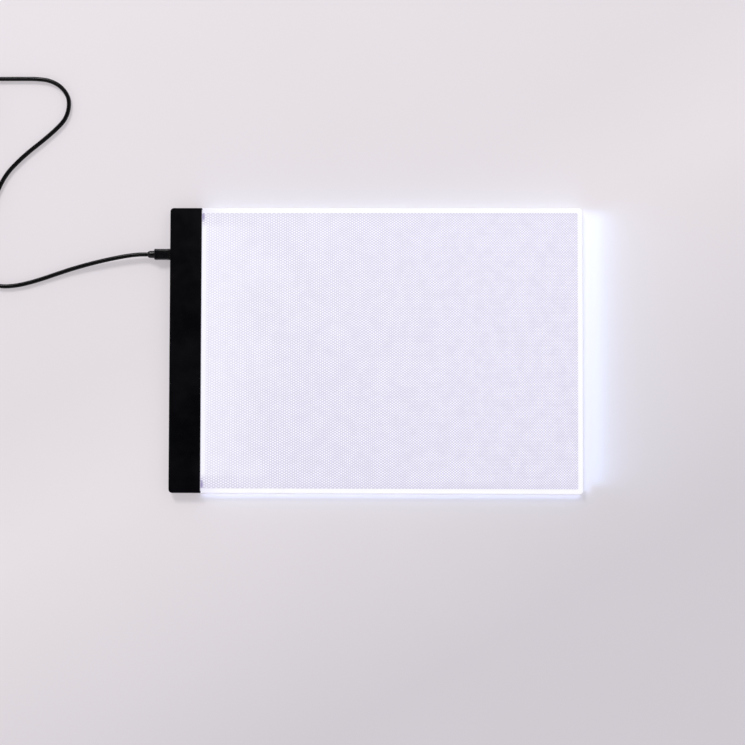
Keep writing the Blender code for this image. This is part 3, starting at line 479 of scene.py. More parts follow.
def jacketLook():
    look, tree, shader = newLook("blackCordJacket", (0.0015, 0.0015, 0.002), 0.26, 0.0, 0.14)
    mottled(tree, shader, (0.0012, 0.0012, 0.0016), (0.0024, 0.0023, 0.0029), 90, 0.20, 0.30)
    fine = noise(tree, 2600, 2.0, 0.5)
    slow = noise(tree, 240, 2.0, 0.5)
    grained(tree, shader, fine, 0.00001, 0.5, relief(tree, slow, 0.00004, 0.5))
    return look


cord = finished(
    "supplyCord", shaded(tubeAlong(cordCentre, cordPlan["diameter"], cordPlan["sides"]), 60), jacketLook(),
    "cable", ["cord_run", "cord_coil", "cord_end"],
)
print(f"stage: cord, {lengthsAlong(cordCentre)[-1]:.3f} m")


# The table, the soft light round it and one lamp from the photo's upper left
studioPlan = {
    "tableSize": 6.0,
    "tableColours": ((0.816, 0.770, 0.797), (0.836, 0.789, 0.820)),
    "tableShare": 0.50,  # of the table's brightness that shadows never reach
    # painted shade: the table's colour goes towards this colour where the light on it falls off
    "paintedShadeColour": (0.11, 0.13, 0.22),
    "paintedShadeSlope": 1.7,  # the painted shade runs along x - 1.7 y
    "shadedLowerRight": (0.0, 0.50, 0.0, 0.205),  # from here to there on the slope, this much to that
    "shadedUpperLeft": (-0.20, -0.04, 0.055, 0.0),
    "paintedShadeReach": (0.2, 1.2),
    "zenithLight": 0.02,
    "sideLight": (1.20, 1.19, 1.22),
    "zenithEdge": (0.86, 0.62),  # heights on the sky where the dark patch ends
    "darkSide": 0.75,
    "lampFrom": (-0.323, 0.691, 0.646),
    "lampDistance": 2.6,
    "lampSize": 0.62,
    "lampPower": 36.0,
    "lampColour": (1.0, 0.985, 0.99),
    "lampAim": (-0.05, 0, 0),
    "stripWidth": 0.0030,
    "strips": [  # place, way, spread, length, power and colour along the plate's free edges
        ((0.1703, 0.0030, 0.0044), (1, 0, 0), 66, 0.224, 0.0315, (0.43, 0.68, 1.08)),
        ((0.1703, 0.0, 0.0044), (0.7, 0, -0.7), 100, 0.232, 0.0058, (0.50, 0.62, 1.00)),
        ((0.0125, 0.1178, 0.0044), (0, 1, 0), 66, 0.313, 0.0034, (0.38, 0.70, 1.10)),
        ((0.0125, -0.1178, 0.0044), (0, -0.35, -0.94), 70, 0.313, 0.0055, (0.50, 0.56, 0.92)),
    ],
}


def makeTable(plan):
    bm = bmesh.new()
    half = plan["tableSize"] / 2
    corners = ((-half, -half), (half, -half), (half, half), (-half, half))
    bm.faces.new([bm.verts.new((x, y, 0)) for x, y in corners])
    mesh = meshFrom(bm, recalc=False)
    look, tree, shader = newLook("paleTable", (0.39, 0.37, 0.38), 0.6, 0.0, 0.2)
    wander = noise(tree, 3.0, 4.0, 0.55)
    grey = blended(tree, ranged(tree, wander, 0.3, 0.7), *plan["tableColours"])
    # painted shade: darker towards the lower right, and a touch towards the upper left, where the light on
    # the table falls off
    x, y = axes(tree)
    slope = x - y * plan["paintedShadeSlope"]
    shadedLowerRight = ranged(tree, slope, *plan["shadedLowerRight"])
    shadedUpperLeft = ranged(tree, slope, *plan["shadedUpperLeft"])
    nearby = ranged(tree, x * x + y * y, *plan["paintedShadeReach"], 1.0, 0.0, smooth=True)
    grey = blended(tree, (shadedLowerRight + shadedUpperLeft) * nearby, grey, plan["paintedShadeColour"])
    share = plan["tableShare"]
    path = addNode(tree, "ShaderNodeLightPath")
    seen = sums(tree, "MAXIMUM", path.outputs["Is Camera Ray"], path.outputs["Is Glossy Ray"])
    seen = sums(tree, "MAXIMUM", seen, path.outputs["Is Transmission Ray"])
    feed(tree, shader, {"Base Color": blended(tree, share, grey, (0.0, 0.0, 0.0))})
    glowing(tree, shader, grey, seen * share)
    grained(tree, shader, noise(tree, 900, 3.0), 0.00003, 0.4)
    mesh.materials.append(look)
    table = link(bpy.data.objects.new("table", mesh))


def makeSky(plan):
    world = bpy.data.worlds.new("studio")
    world.use_nodes = True
    scene.world = world
    tree = world.node_tree
    background = tree.nodes["Background"]
    way = addNode(tree, "ShaderNodeTexCoord").outputs["Generated"]
    parts = addNode(tree, "ShaderNodeSeparateXYZ", {"Vector": way})
    high, low = plan["zenithEdge"]
    side = ranged(tree, parts.outputs["Z"], low, high, 1.0, plan["zenithLight"], smooth=True)
    # a little less light from the side that the shadows fall to
    turnedAway = ranged(tree, parts.outputs["Y"], -0.45, 0.45, 1.0, 0.0, smooth=True)
    raised = ranged(tree, parts.outputs["Z"], 0.08, 0.25, 0.0, 1.0, smooth=True)
    light = side * (1.0 - turnedAway * raised * (1.0 - plan["darkSide"]))
    colour = blended(tree, light, (0.0, 0.0, 0.0), plan["sideLight"])
    feed(tree, background, {"Color": colour, "Strength": 1.0})


def areaLight(name, place, way, **settings):
    data = bpy.data.lights.new(name, "AREA")
    for key, value in settings.items():
        setattr(data, key, value)
    lamp = link(bpy.data.objects.new(name, data))
    lamp.location = place
    lamp.rotation_euler = way.to_track_quat("Z", "Y").to_euler()


def makeLights(plan):
    way = Vector(plan["lampFrom"]).normalized()
    areaLight(
        "softLamp", Vector(plan["lampAim"]) + way * plan["lampDistance"], way,
        shape="DISK", size=plan["lampSize"], energy=plan["lampPower"], color=plan["lampColour"],
    )
    # light that leaves the plate's edges in beams, on top of what the edges give all round
    for place, way, spread, length, power, colour in plan["strips"]:
        areaLight(
            "edgeLight", place, -Vector(way), shape="RECTANGLE", size=length,
            size_y=plan["stripWidth"], spread=math.radians(spread), energy=power, color=colour,
        )


makeTable(studioPlan)
makeSky(studioPlan)
makeLights(studioPlan)
print("stage: table and light")


# The black bar: two moulded shells that meet in a fine seam
barPlan = {
    "left": -0.170, "right": -0.144, "half": 0.1175,
    "corner": 0.003,
    "sharpCorner": 0.0002,
    "overrun": 0.001,  # how far a cut runs past what it cuts
    "overlap": 0.0005,  # how deep a boss stands in its shell
    "wall": 0.0012,
    "bottom": 0.0011,
    "floorTop": 0.0021,
    "roofBottom": 0.0065,
    "top": 0.0075,
    "seam": (0.00388, 0.00408),
    "edge": 0.0005,
    "seamEdge": 0.00015,
    "mouth": (0.0080, 0.00315, 0.00065),
    "socket": (0.0793, 0.004625),
    "screwX": -0.16175,
    "screwY": (-0.1115, -0.04465, 0.04465, 0.1115),
    "headHole": (0.0017, 0.0022),
    "pilotHole": 0.0010,
    "lowerBoss": (0.0027, 0.0029),
    "upperBoss": (0.0020, 0.0031),
    "rib": ((-0.1547, -0.1153, 0.0016), (-0.1539, 0.1153, 0.0059)),
    "wireNotch": ((-0.1560, 0.059606, 0.0032), (-0.1530, 0.063206, 0.0065)),
}


def plasticLook(name, dark, pale, rough, grain):
    look, tree, shader = newLook(name, dark, rough, 0.0, 0.12)
    mottled(tree, shader, dark, pale, 60, rough - 0.05, rough + 0.07, 4.0)
    fine = cells(tree, 2400)
    pebbles = relief(tree, fine, grain, 0.5)
    shallow = noise(tree, 420, 4.0, 0.6)
    grained(tree, shader, shallow, grain * 2, 0.35, pebbles)
    return look


def block(low, high, edge=0.0):
    plan = lambda inset: roundedPlan(
        (low[0] + inset, low[1] + inset), (high[0] - inset, high[1] - inset), [1e-5] * 4, 1,
    )
    return slab(plan, low[2], high[2], edge, edge, 3 if edge else 1)


def sectionRings(width, height, radius, stations, steps=8):
    # rounded rectangles across X, from (x, inset, width share, height share) stations
    rings = []
    for x, inset, wide, high in stations:
        halfWide = width * wide / 2 - inset
        halfHigh = height * high / 2 - inset
        corner = min(max(radius - inset * 0.6, 2e-5), halfWide * 0.999, halfHigh * 0.999)
        outline = roundedPlan((-halfWide, -halfHigh), (halfWide, halfHigh), [corner] * 4, steps)
        rings.append([(x, y, z) for y, z in outline])
    return rings


def barOutline(plan):
    def outline(inset):
        sharp = plan["sharpCorner"]
        near = max(plan["corner"] - inset, sharp)
        return insetPlan(plan, inset, [near, sharp, sharp, near], 12)
    return outline


def atScrews(plan, profile):
    return joined([moved(turned(profile, 32), Vector((plan["screwX"], y, 0))) for y in plan["screwY"]])


def makeBar(plan):
    look = plasticLook("blackMouldedBar", (0.0016, 0.0016, 0.0024), (0.0026, 0.0026, 0.0038), 0.30, 0.000010)
    outline = barOutline(plan)
    seamLow, seamHigh = plan["seam"]
    wall = plan["wall"]
    bayLow = (plan["left"] + wall, wall - plan["half"])
    overrun = plan["overrun"]
    bayHigh = (plan["right"] + overrun, plan["half"] - wall)
    inside = plan["corner"] - wall
    bay = lambda inset: roundedPlan(bayLow, bayHigh, [inside, 1e-5, 1e-5, inside], 8)
    width, height, corner = plan["mouth"]
    y, z = plan["socket"]
    outer = plan["left"]
    mouthRings = sectionRings(width, height, corner, [
        (outer - overrun, -0.0006, 1, 1),
        (outer - 0.00001, -0.00032, 1, 1),
        (outer + 0.00012, -0.00012, 1, 1),
        (outer + 0.0003, 0.0, 1, 1),
        (outer + wall + overrun, 0.0, 1, 1),
    ], 8)
    middle = Vector((0, y, z))

    def column(radius, low, high):
        return [(0, low), (radius, low), (radius, high), (0, high)]

    radius, low = plan["upperBoss"]
    upper = carved(
        slab(outline, seamHigh, plan["top"], plan["seamEdge"], plan["edge"], 6),
        ("DIFFERENCE", slab(bay, 0.0, plan["roofBottom"], 0.0, 0.0, 1)),
        ("DIFFERENCE", moved(loftRings(mouthRings), middle)),
        ("UNION", atScrews(plan, column(radius, low, plan["roofBottom"] + plan["overlap"]))),
        ("DIFFERENCE", atScrews(plan, column(plan["pilotHole"], overrun, plan["roofBottom"] - 0.0001))),
    )
    finished("barTop", weighted(upper), look, "pad", ["upper_shell"])

    radius, high = plan["lowerBoss"]
    headRadius, headTop = plan["headHole"]
    steppedHole = [
        (0, 0.0), (headRadius + 0.0011, 0.0), (headRadius + 0.0001, plan["bottom"]),
        (headRadius, plan["bottom"] + 0.0001), (headRadius, headTop), (plan["pilotHole"], headTop),
        (plan["pilotHole"], high + overrun), (0, high + overrun),
    ]
    lower = carved(
        slab(outline, plan["bottom"], seamLow, plan["edge"], plan["seamEdge"], 6),
        ("DIFFERENCE", slab(bay, plan["floorTop"], 0.009, 0.0, 0.0, 1)),
        ("DIFFERENCE", moved(loftRings(mouthRings), middle)),
        ("UNION", block(*plan["rib"])),
        ("DIFFERENCE", block(*plan["wireNotch"])),
        ("UNION", atScrews(plan, column(radius, plan["floorTop"] - plan["overlap"], high))),
        ("DIFFERENCE", atScrews(plan, steppedHole)),
    )
    finished("barBase", weighted(lower), look, "pad", ["lower_shell"])


makeBar(barPlan)
print("stage: bar")


# The light guide: a clear plate whose rim and edges give out the light
panelPlan = {
    "left": -0.1437, "tongue": -0.152, "right": 0.170,
    "half": 0.1175, "tongueHalf": 0.116,
    "low": 0.0029, "high": 0.0059,
    "corner": 0.0025, "edge": 0.0003,
    "rimLight": 0.652,
    "streakLight": (0.615, 0.615, 0.63),
    "nearBarLight": (0.53, 0.52, 0.61),
    "rimFade": 0.022,  # how far from the bar the rim stays dimmer
    "sideFade": 0.012,
    "sideColour": (0.56, 0.75, 1.0),
    "sideLight": (7.0, 6.0, 4.5),  # the far side, then the low and the high one
}


def rimLook(plan):
    look, tree, shader = newLook("clearLitRim", (0.42, 0.42, 0.45), 0.16, 0.0, 0.5)
    x, _ = axes(tree)
    nearBar = ranged(tree, x, plan["left"], plan["left"] + plan["rimFade"], 0.0, 1.0, smooth=True)
    streaks = noise(tree, 90, 3.0, 0.6, (1.0, 0.25, 1.0))
    full = (plan["rimLight"],) * 3
    streaky = blended(tree, ranged(tree, streaks, 0.35, 0.7), plan["streakLight"], full)
    glowing(tree, shader, blended(tree, nearBar, plan["nearBarLight"], streaky))
    roughened(tree, shader, noise(tree, 55, 4.0, 0.6), 0.12, 0.22)
    scuffs = noise(tree, 700, 4.0, 0.7, (1.0, 0.12, 1.0))
    grained(tree, shader, scuffs, 0.000008, 0.4)
    return look


def sideLook(plan):
    look, tree, shader = newLook("brightCutEdge", (0.6, 0.6, 0.62), 0.3, 0.0, 0.4)
    sawn = noise(tree, 500, 3.0, 0.6, (1.0, 1.0, 0.1))
    x, y = axes(tree)
    most = max(plan["sideLight"])
    far, low, high = (tuple(part * side / most for part in plan["sideColour"]) for side in plan["sideLight"])
    sides = blended(tree, ranged(tree, y, -0.001, 0.001), low, high)
    glow = blended(tree, ranged(tree, x, plan["right"] - 0.0006, plan["right"] - 0.0002), sides, far)
    nearBar = ranged(tree, x, plan["left"], plan["left"] + plan["sideFade"], 0.4, 1.0, smooth=True)
    grain = nearBar * ranged(tree, sawn, 0.3, 0.7, 0.9, 1.0)
    glowing(tree, shader, blended(tree, grain, (0.0, 0.0, 0.0), glow), most)
    grained(tree, shader, sawn, 0.00001, 0.5)
    roughened(tree, shader, sawn, 0.25, 0.38)
    return look


def makePanel(plan):
    def outline(inset):
        corner = plan["corner"] - inset
        far = insetPlan(plan, inset, [1e-5, corner, corner, 1e-5], 12)
        # the tongue under the bar joins the plate's left side
        half = plan["tongueHalf"] - inset
        count = len(far) // 4
        tongue = [
            (plan["left"] + inset, half), (plan["tongue"] + inset, half),
            (plan["tongue"] + inset, -half), (plan["left"] + inset, -half),
        ]
        body = far[count - 1:3 * count + 1]
        return body + tongue

    mesh = slab(outline, plan["low"], plan["high"], plan["edge"], plan["edge"], 4)
    mesh = weighted(mesh)
    looks = [rimLook(plan), sideLook(plan)]
    panel = finished("lightPlate", mesh, looks, "pad", ["light_guide_panel"])
    for face in panel.data.polygons:
        upright = abs(face.normal.z) < 0.1
        beyondBar = face.center.x > plan["left"] + 0.0004
        face.material_index = 1 if upright and beyondBar else 0


makePanel(panelPlan)


# The lit film and the white dots that scatter the light
filmPlan = {
    "left": -0.1437, "right": 0.166, "half": 0.1135,
    "low": 0.0060, "high": 0.0062,
    "corner": 0.001, "edge": 0.00004,
    "dots": {  # the columns are wide apart at first, then close
        "Left": -0.1428, "Columns": 214, "Rows": 108,
        "Wide spacing": 0.00204, "Close spacing": 0.00109, "Row spacing": 0.00210,
        "Change column": 79.0, "Change length": 28.0,
        "Wide dot": 0.00138, "Close dot": 0.00108, "Dot top": 0.00003, "Dot low": 0.00621,
        "Stretch along": 1.25, "Stretch across": 0.85,
    },
    "dotLight": (0.69, 0.68, 0.79),
    "dotFarLight": (0.75, 0.73, 0.85),
    "betweenLight": (0.412, 0.392, 0.500),
    "farLight": (0.325, 0.305, 0.435),
    "bandLight": (0.655, 0.655, 0.70),
    "spotLight": (0.09, 0.05, 0.25),
    "cloudShare": 0.30,
    "bandReach": (0.0010, 0.0068),  # the white band beside the bar fades between these
    "glowReach": (0.004, 0.060),
    "glowShare": 0.28,
    "bandEnds": (0.1060, 0.1010),  # the band fades in along the bar between these
    "spotPlace": 0.1106,  # the dark spots at the bar's ends
    "spotSize": (0.0024, 0.0046),
    "spotEdge": 1.45,
    "edgeFade": (0.1135, 0.1070, 0.70, 1.0),  # the dots are fainter along the film's long edges
}


def lightField(tree, plan):
    # the light falls off from the bar to the far lower corner, with a white band along the bar
    x, y = axes(tree)
    left = plan["left"]
    along = ranged(tree, x, left, plan["right"], 0.0, 0.62)
    down = ranged(tree, y, plan["half"], -plan["half"], 0.0, 0.38)
    base = blended(tree, along + down, plan["betweenLight"], plan["farLight"])
    cloud = ranged(tree, noise(tree, 26, 3.0, 0.55), 0.52, 0.78, 0.0, plan["cloudShare"])
    leftward = ranged(tree, x, left, 0.06, 1.0, 0.15)
    base = blended(tree, cloud * leftward, base, plan["bandLight"])
    start, end = plan["bandReach"]
    band = ranged(tree, x, left + start, left + end, 1.0, 0.0, smooth=True)
    start, end = plan["glowReach"]
    glow = ranged(tree, x, left + start, left + end, plan["glowShare"], 0.0, smooth=True)
    inward = ranged(tree, abs(y), *plan["bandEnds"], 0.0, 1.0, smooth=True)
    lit = sums(tree, "MAXIMUM", band, glow) * inward
    base = blended(tree, lit, base, plan["bandLight"])
    wide, long = plan["spotSize"]
    across = (x - left) / wide
    lengthways = (abs(y) - plan["spotPlace"]) / long
    square = across * across + lengthways * lengthways
    spot = ranged(tree, square, 0.0, plan["spotEdge"], 1.0, 0.0, smooth=True)
    return blended(tree, spot, base, plan["spotLight"]), spot


def filmLook(plan):
    look, tree, shader = newLook("litMattFilm", (0.35, 0.35, 0.36), 0.55, 0.0, 0.3)
    field, _ = lightField(tree, plan)
    glowing(tree, shader, field)
    matt = noise(tree, 3000, 2.0, 0.5)
    roughened(tree, shader, noise(tree, 40, 3.0), 0.48, 0.62)
    grained(tree, shader, matt, 0.000006, 0.4)
    return look


def dotLook(plan):
    look, tree, shader = newLook("whiteDots", (0.35, 0.35, 0.36), 0.6, 0.0, 0.2)
    x, y = axes(tree)
    edge = ranged(tree, abs(y), *plan["edgeFade"], smooth=True)
    field, spot = lightField(tree, plan)
    away = ranged(tree, x, plan["left"], plan["right"])
    light = blended(tree, away, plan["dotLight"], plan["dotFarLight"])
    patchy = ranged(tree, noise(tree, 120, 2.0, 0.5), 0.32, 0.62, 0.72, 1.0)
    glowing(tree, shader, blended(tree, patchy * edge * (1.0 - spot), field, light))
    grained(tree, shader, noise(tree, 5000, 2.0), 0.000004, 0.4)
    return look


# Geometry Nodes helpers

def newTree(name, values):
    tree = bpy.data.node_groups.new(name, "GeometryNodeTree")
    tree.interface.new_socket("Geometry", in_out="INPUT", socket_type="NodeSocketGeometry")
    sockets = {}
    for label, value in values.items():
        kind = "NodeSocketInt" if isinstance(value, int) else "NodeSocketFloat"
        sockets[label] = tree.interface.new_socket(label, in_out="INPUT", socket_type=kind).identifier
    tree.interface.new_socket("Geometry", in_out="OUTPUT", socket_type="NodeSocketGeometry")
    source = tree.nodes.new("NodeGroupInput")
    given = {label: Amount(tree, socket) for label, socket in source.outputs.items()}
    return tree, given, tree.nodes.new("NodeGroupOutput"), sockets


def grown(mesh, tree, sockets, values):
    # runs the tree once and keeps its result as a plain mesh
    work = workOn(mesh)
    step = work.modifiers.new("nodes", "NODES")
    step.node_group = tree
    for label, value in values.items():
        step[sockets[label]] = value
    return settled(work)


def spreadOut(tree, points, shape, look, result, scale=(1.0, 1.0, 1.0)):
    # the shape at every point, made real and given its finish
    feeds = {"Points": points, "Instance": shape, "Scale": scale}
    spread = addNode(tree, "GeometryNodeInstanceOnPoints", feeds)
    real = addNode(tree, "GeometryNodeRealizeInstances", {"Geometry": spread.outputs["Instances"]})
    feeds = {"Geometry": real.outputs["Geometry"], "Material": look}
    painted = addNode(tree, "GeometryNodeSetMaterial", feeds)
    feed(tree, result, {"Geometry": painted.outputs["Geometry"]})


def numbers(tree):
    return Amount(tree, addNode(tree, "GeometryNodeInputIndex").outputs["Index"])


def dotTree(look, values):
    tree, given, result, sockets = newTree("dotField", values)
    rows, wide, length = given["Rows"], given["Wide spacing"], given["Change length"]
    grid = addNode(tree, "GeometryNodeMeshGrid", {"Vertices X": given["Columns"], "Vertices Y": rows})
    column = sums(tree, "FLOOR", (numbers(tree) + 0.5) / rows)
    row = numbers(tree) - column * rows
    # the columns close up smoothly round one column, and every other one is half a row along
    reach = sums(tree, "EXPONENT", (column - given["Change column"]) / length)
    start = sums(tree, "EXPONENT", given["Change column"] * -1.0 / length)
    bend = sums(tree, "LOGARITHM", (reach + 1.0) / (start + 1.0), math.e) * length
    across = column * wide + bend * (given["Close spacing"] - wide)
    shift = (sums(tree, "MODULO", column, 2.0) - 0.5) * 0.5
    lane = row + shift - (rows - 1.0) * 0.5
    place = addNode(tree, "ShaderNodeCombineXYZ", {
        "X": given["Left"] + across, "Y": lane * given["Row spacing"], "Z": given["Dot low"],
    })
    feeds = {"Geometry": grid.outputs["Mesh"], "Position": place.outputs["Vector"]}
    placed = addNode(tree, "GeometryNodeSetPosition", feeds)
    cone = addNode(tree, "GeometryNodeMeshCone", {
        "Vertices": 8, "Radius Top": 0.0, "Radius Bottom": given["Wide dot"] * 0.5, "Depth": given["Dot top"],
    }, fill_type="NONE")
    # the dots shrink as the columns close up
    least = given["Close dot"] / given["Wide dot"]
    size = reach / (reach + 1.0) * (least - 1.0) + 1.0
    scale = addNode(tree, "ShaderNodeCombineXYZ", {
        "X": size * given["Stretch along"], "Y": size * given["Stretch across"], "Z": 1.0,
    })
    spreadOut(tree, placed.outputs["Geometry"], cone.outputs["Mesh"], look, result, scale.outputs["Vector"])
    return tree, sockets


def makeFilm(plan):
    outline = lambda inset: insetPlan(plan, inset, [plan["corner"]] * 4, 8)
    edge = plan["edge"]
    mesh = weighted(slab(outline, plan["low"], plan["high"], edge, edge, 2))
    finished("litFilm", mesh, filmLook(plan), "pad", ["diffuser_sheet"])
    look, values = dotLook(plan), plan["dots"]
    mesh = grown(bpy.data.meshes.new("seed"), *dotTree(look, values), values)
    finished("dotField", mesh, look, "pad")


makeFilm(filmPlan)
print("stage: plate, film and dots")


# Feet under the bar and under the plate's far edge
feetPlan = {
    "bar": (-0.14935, 0.0011, ["bar_foot_1", "bar_foot_2"]),
    "plate": (0.157, 0.0024, ["panel_foot_1", "panel_foot_2"]),
    "y": (-0.1045, 0.1045),
    "radius": 0.004, "edge": 0.00035,
    "rubber": {
        "bar": ("grey_rubber", "greyFootRubber", (0.06, 0.06, 0.062), (0.085, 0.085, 0.088), (0.62, 0.78)),
        "plate": ("clear_rubber", "clearFootRubber", (0.62, 0.62, 0.64), (0.70, 0.70, 0.72), (0.24, 0.40)),
    },
}


def makeFeet(plan):
    for side in ("bar", "plate"):
        x, height, nodes = plan[side]
        slotName, lookName, low, high, roughs = plan["rubber"][side]
        look = patterned(lookName, low, high, 500, roughs, (2600, 3.0), 0.00002, specular=0.35)
        for y, node in zip(plan["y"], nodes):
            radius = plan["radius"]
            profile = discProfile(radius, 0.0, height, plan["edge"], 0.00004)
            # a shallow dish in the face that stands on the table
            profile = [(0.0, 0.00018), (radius * 0.55, 0.00016), (radius * 0.68, 0.0)] + profile[1:]
            foot = moved(turned(profile, 64), Vector((x, y, 0)))
            name = f"{side}Foot{'Low' if y < 0 else 'High'}"
            finished(name, weighted(foot), look, "pad", [node])


makeFeet(feetPlan)


# Case screws, set on their four places by nodes
screwPlan = {
    "row": {"Screws": 4, "Place": -0.16175, "End reach": 0.1115, "Middle reach": 0.04465},
    "bottom": 0.0012,
    "headTop": 0.0021, "headRadius": 0.0015, "shankRadius": 0.0008,
    "tip": 0.0060,
    "thread": 0.00055,
    "crossLength": 0.0018, "crossWidth": 0.0004, "crossDepth": 0.0004,
    "zinc": ((0.44, 0.44, 0.43), (0.60, 0.60, 0.57), 1500, (0.24, 0.42), (6000, 2.0), 0.000006),
}


def screwMesh(plan):
    low, top, head, shank = plan["bottom"], plan["headTop"], plan["headRadius"], plan["shankRadius"]
    profile = [(0, low), (head * 0.62, low), (head * 0.88, low + 0.00014), (head, low + 0.0004), (head, top)]
    profile += [(shank * 0.8, top)]
    at = top + 0.00015
    root, thread = shank * 0.78, plan["thread"]
    while at < plan["tip"] - 0.0008:
        profile += [(root, at), (shank, at + thread * 0.4), (root, at + thread * 0.8)]
        at += thread
    profile += [(shank * 0.5, plan["tip"] - 0.0003), (0, plan["tip"])]
    body = turned(profile, 40)
    half, thin = plan["crossLength"] / 2, plan["crossWidth"] / 2
    floor = low + plan["crossDepth"]
    slots = [
        block((-half, -thin, low - 0.001), (half, thin, floor)),
        block((-thin, -half, low - 0.001), (thin, half, floor)),
    ]
    return weighted(carved(body, ("DIFFERENCE", slots[0]), ("DIFFERENCE", slots[1])))


def screwTree(look, values):
    tree, given, result, sockets = newTree("screwRow", values)
    fromMiddle = numbers(tree) - (given["Screws"] - 1.0) * 0.5
    isEnd = sums(tree, "GREATER_THAN", abs(fromMiddle), 1.0)
    reach = given["Middle reach"] + isEnd * (given["End reach"] - given["Middle reach"])
    feeds = {"X": given["Place"], "Y": sums(tree, "SIGN", fromMiddle) * reach}
    place = addNode(tree, "ShaderNodeCombineXYZ", feeds)
    feeds = {"Count": given["Screws"], "Position": place.outputs["Vector"]}
    points = addNode(tree, "GeometryNodePoints", feeds)
    spreadOut(tree, points.outputs["Points"], given["Geometry"], look, result)
    return tree, sockets


def makeScrews(plan):
    look, values = patterned("zincScrew", *plan["zinc"], metallic=1.0), plan["row"]
    mesh = grown(screwMesh(plan), *screwTree(look, values), values)
    nodes = [f"case_screw_{number}" for number in range(1, values["Screws"] + 1)]
    finished("caseScrews", mesh, look, "pad", nodes)


makeScrews(screwPlan)
print("stage: feet and screws")


# The two plugs
plugPlan = {
    "rubber": ((0.0022, 0.0020, 0.0026), (0.0036, 0.0032, 0.0040), 300, (0.22, 0.34), (3200,), 0.000015),
    "steel": (
        (0.52, 0.52, 0.51), (0.66, 0.66, 0.65), 900, (0.18, 0.34),
        (900, 3.0, 0.6, (0.1, 1.0, 1.0)), 0.000006, 0.4,
    ),
    "micro": {
        "face": (-0.1703, 0.0793, 0.004625),
        "turn": 0.0,
        "grip": (0.0090, 0.0065, 0.0130),
        "corner": 0.0018, "edge": 0.0008,
        "neck": (0.0054, 0.0060, 0.0047),
        "shell": (0.0066, 0.00175, 0.00025, 0.0004),
        "reach": (-0.0030, 0.0052),
    },
    "usbA": {
        "face": (-0.377825, 0.147275, 0.0042),
        "turn": -90.0,
        "grip": (0.0155, 0.0080, 0.0230),
        "corner": 0.0018, "edge": 0.0008,
        "neck": (0.0070, 0.0058, 0.0047),
        "shell": (0.0120, 0.0045, 0.0003, 0.0004),
        "reach": (-0.0050, 0.0118),
        "windows": [
            ((0.0052, side - 0.0012, -0.004), (0.0074, side + 0.0012, 0.004)) for side in (-0.0029, 0.0029)
        ],
    },
}


def frameOf(plan):
    return Matrix.Translation(plan["face"]) @ Matrix.Rotation(math.radians(plan["turn"]), 4, "Z")


def gripMesh(plan):
    width, height, length = plan["grip"]
    edge = plan["edge"]
    neckLength, neckWide, neckThin = plan["neck"]
    # a hair narrower in its middle, as a moulded grip is
    stations = [(-drop, inset, 1, 1) for inset, drop in rimSteps(edge * 0.6, 5)]
    for share in (0.12, 0.25, 0.4, 0.55, 0.7, 0.82, 0.9):
        waist = 1 - 0.022 * math.sin(math.pi * share)
        stations.append((-length * share, 0.0, waist, 1 - 0.012 * math.sin(math.pi * share)))
    stations += [(-length + drop, inset, 1, 1) for inset, drop in reversed(rimSteps(edge, 6))]
    body = loftRings(sectionRings(width, height, plan["corner"], stations, 10))
    wide, thin = neckWide / 2, neckThin / 2
    end = -length - neckLength
    profile = [
        (0, -length + edge * 2), (wide + 0.0002, -length + edge), (wide + 0.0002, -length - 0.0001),
        (wide, -length - 0.0003),
    ]
    profile += [(wide, -length - neckLength * 0.45), (wide - 0.00004, -length - neckLength * 0.66)]
    profile += [(wide - 0.00018, end + 0.0011), (wide - 0.00042, end + 0.0005), (thin, end + 0.00008)]
    profile += [(thin - 0.00012, end), (0, end)]
    neck = moved(turned(profile, 48), Matrix.Rotation(math.pi / 2, 4, "Y"))
    shellWide, shellHigh, _, corner = plan["shell"]
    gap = 0.0003
    depth = -plan["reach"][0] + gap
    hole = sectionRings(
        shellWide + 2 * gap, shellHigh + 2 * gap, corner + gap, [(-depth, 0, 1, 1), (0.001, 0, 1, 1)], 6,
    )
    made = carved(body, ("UNION", neck), ("DIFFERENCE", loftRings(hole)))
    return weighted(moved(made, frameOf(plan)), 32)


def sleeveMesh(plan):
    # a folded sheet sleeve with a rounded mouth, and windows where it has them
    width, height, wall, corner = plan["shell"]
    low, high = plan["reach"]
    stations = [(low, 0, 1, 1), (high - 0.0002, 0, 1, 1), (high, 0.00008, 1, 1)]
    outside = sectionRings(width, height, corner, stations, 6)
    stations = [(high, -0.00008, 1, 1), (high - 0.0002, 0, 1, 1), (low, 0, 1, 1)]
    inner = (width - 2 * wall, height - 2 * wall, max(corner - wall, 0.0001))
    inside = sectionRings(*inner, stations, 6)
    sleeve = loftRings(outside + inside, closed=True)
    if "windows" in plan:
        sleeve = carved(sleeve, *[("DIFFERENCE", block(*window)) for window in plan["windows"]])
    return weighted(moved(sleeve, frameOf(plan)))


def makePlugs(plan):
    rubber = patterned("blackGripRubber", *plan["rubber"], specular=0.20, pattern=cells)
    steel = patterned("platedSteel", *plan["steel"], metallic=1.0)
    finished("supplyPlugGrip", gripMesh(plan["micro"]), rubber, "cable", ["micro_plug_grip"])
    finished("farPlugGrip", gripMesh(plan["usbA"]), rubber, "cable", ["usb_a_grip"])
    mesh = sleeveMesh(plan["micro"])
    finished("supplyPlugSleeve", mesh, steel, "cable", ["micro_plug_shell"])
    finished("farPlugSleeve", sleeveMesh(plan["usbA"]), steel, "cable", ["usb_a_shell"])
    return steel


plugSteel = makePlugs(plugPlan)


# The tie: a strip drawn snugly round all the turns, with its end laid over itself
tiePlan = {
    "angle": 300.0,
    "width": 0.0050, "thickness": 0.0005, "edge": 0.0001, "gap": 0.0002,
    "steps": 72,
    "tab": (-55.0, 40.0),  # where its end lies, from level and outward
    "tabGap": 0.00002,
    "tabSteps": 24,
    "weave": (
        (0.009, 0.009, 0.010), (0.018, 0.018, 0.019), 1200, (0.7, 0.92),
        (2600, (1.0, 1.0, 0.6)), 0.00006, 0.7,
    ),
}


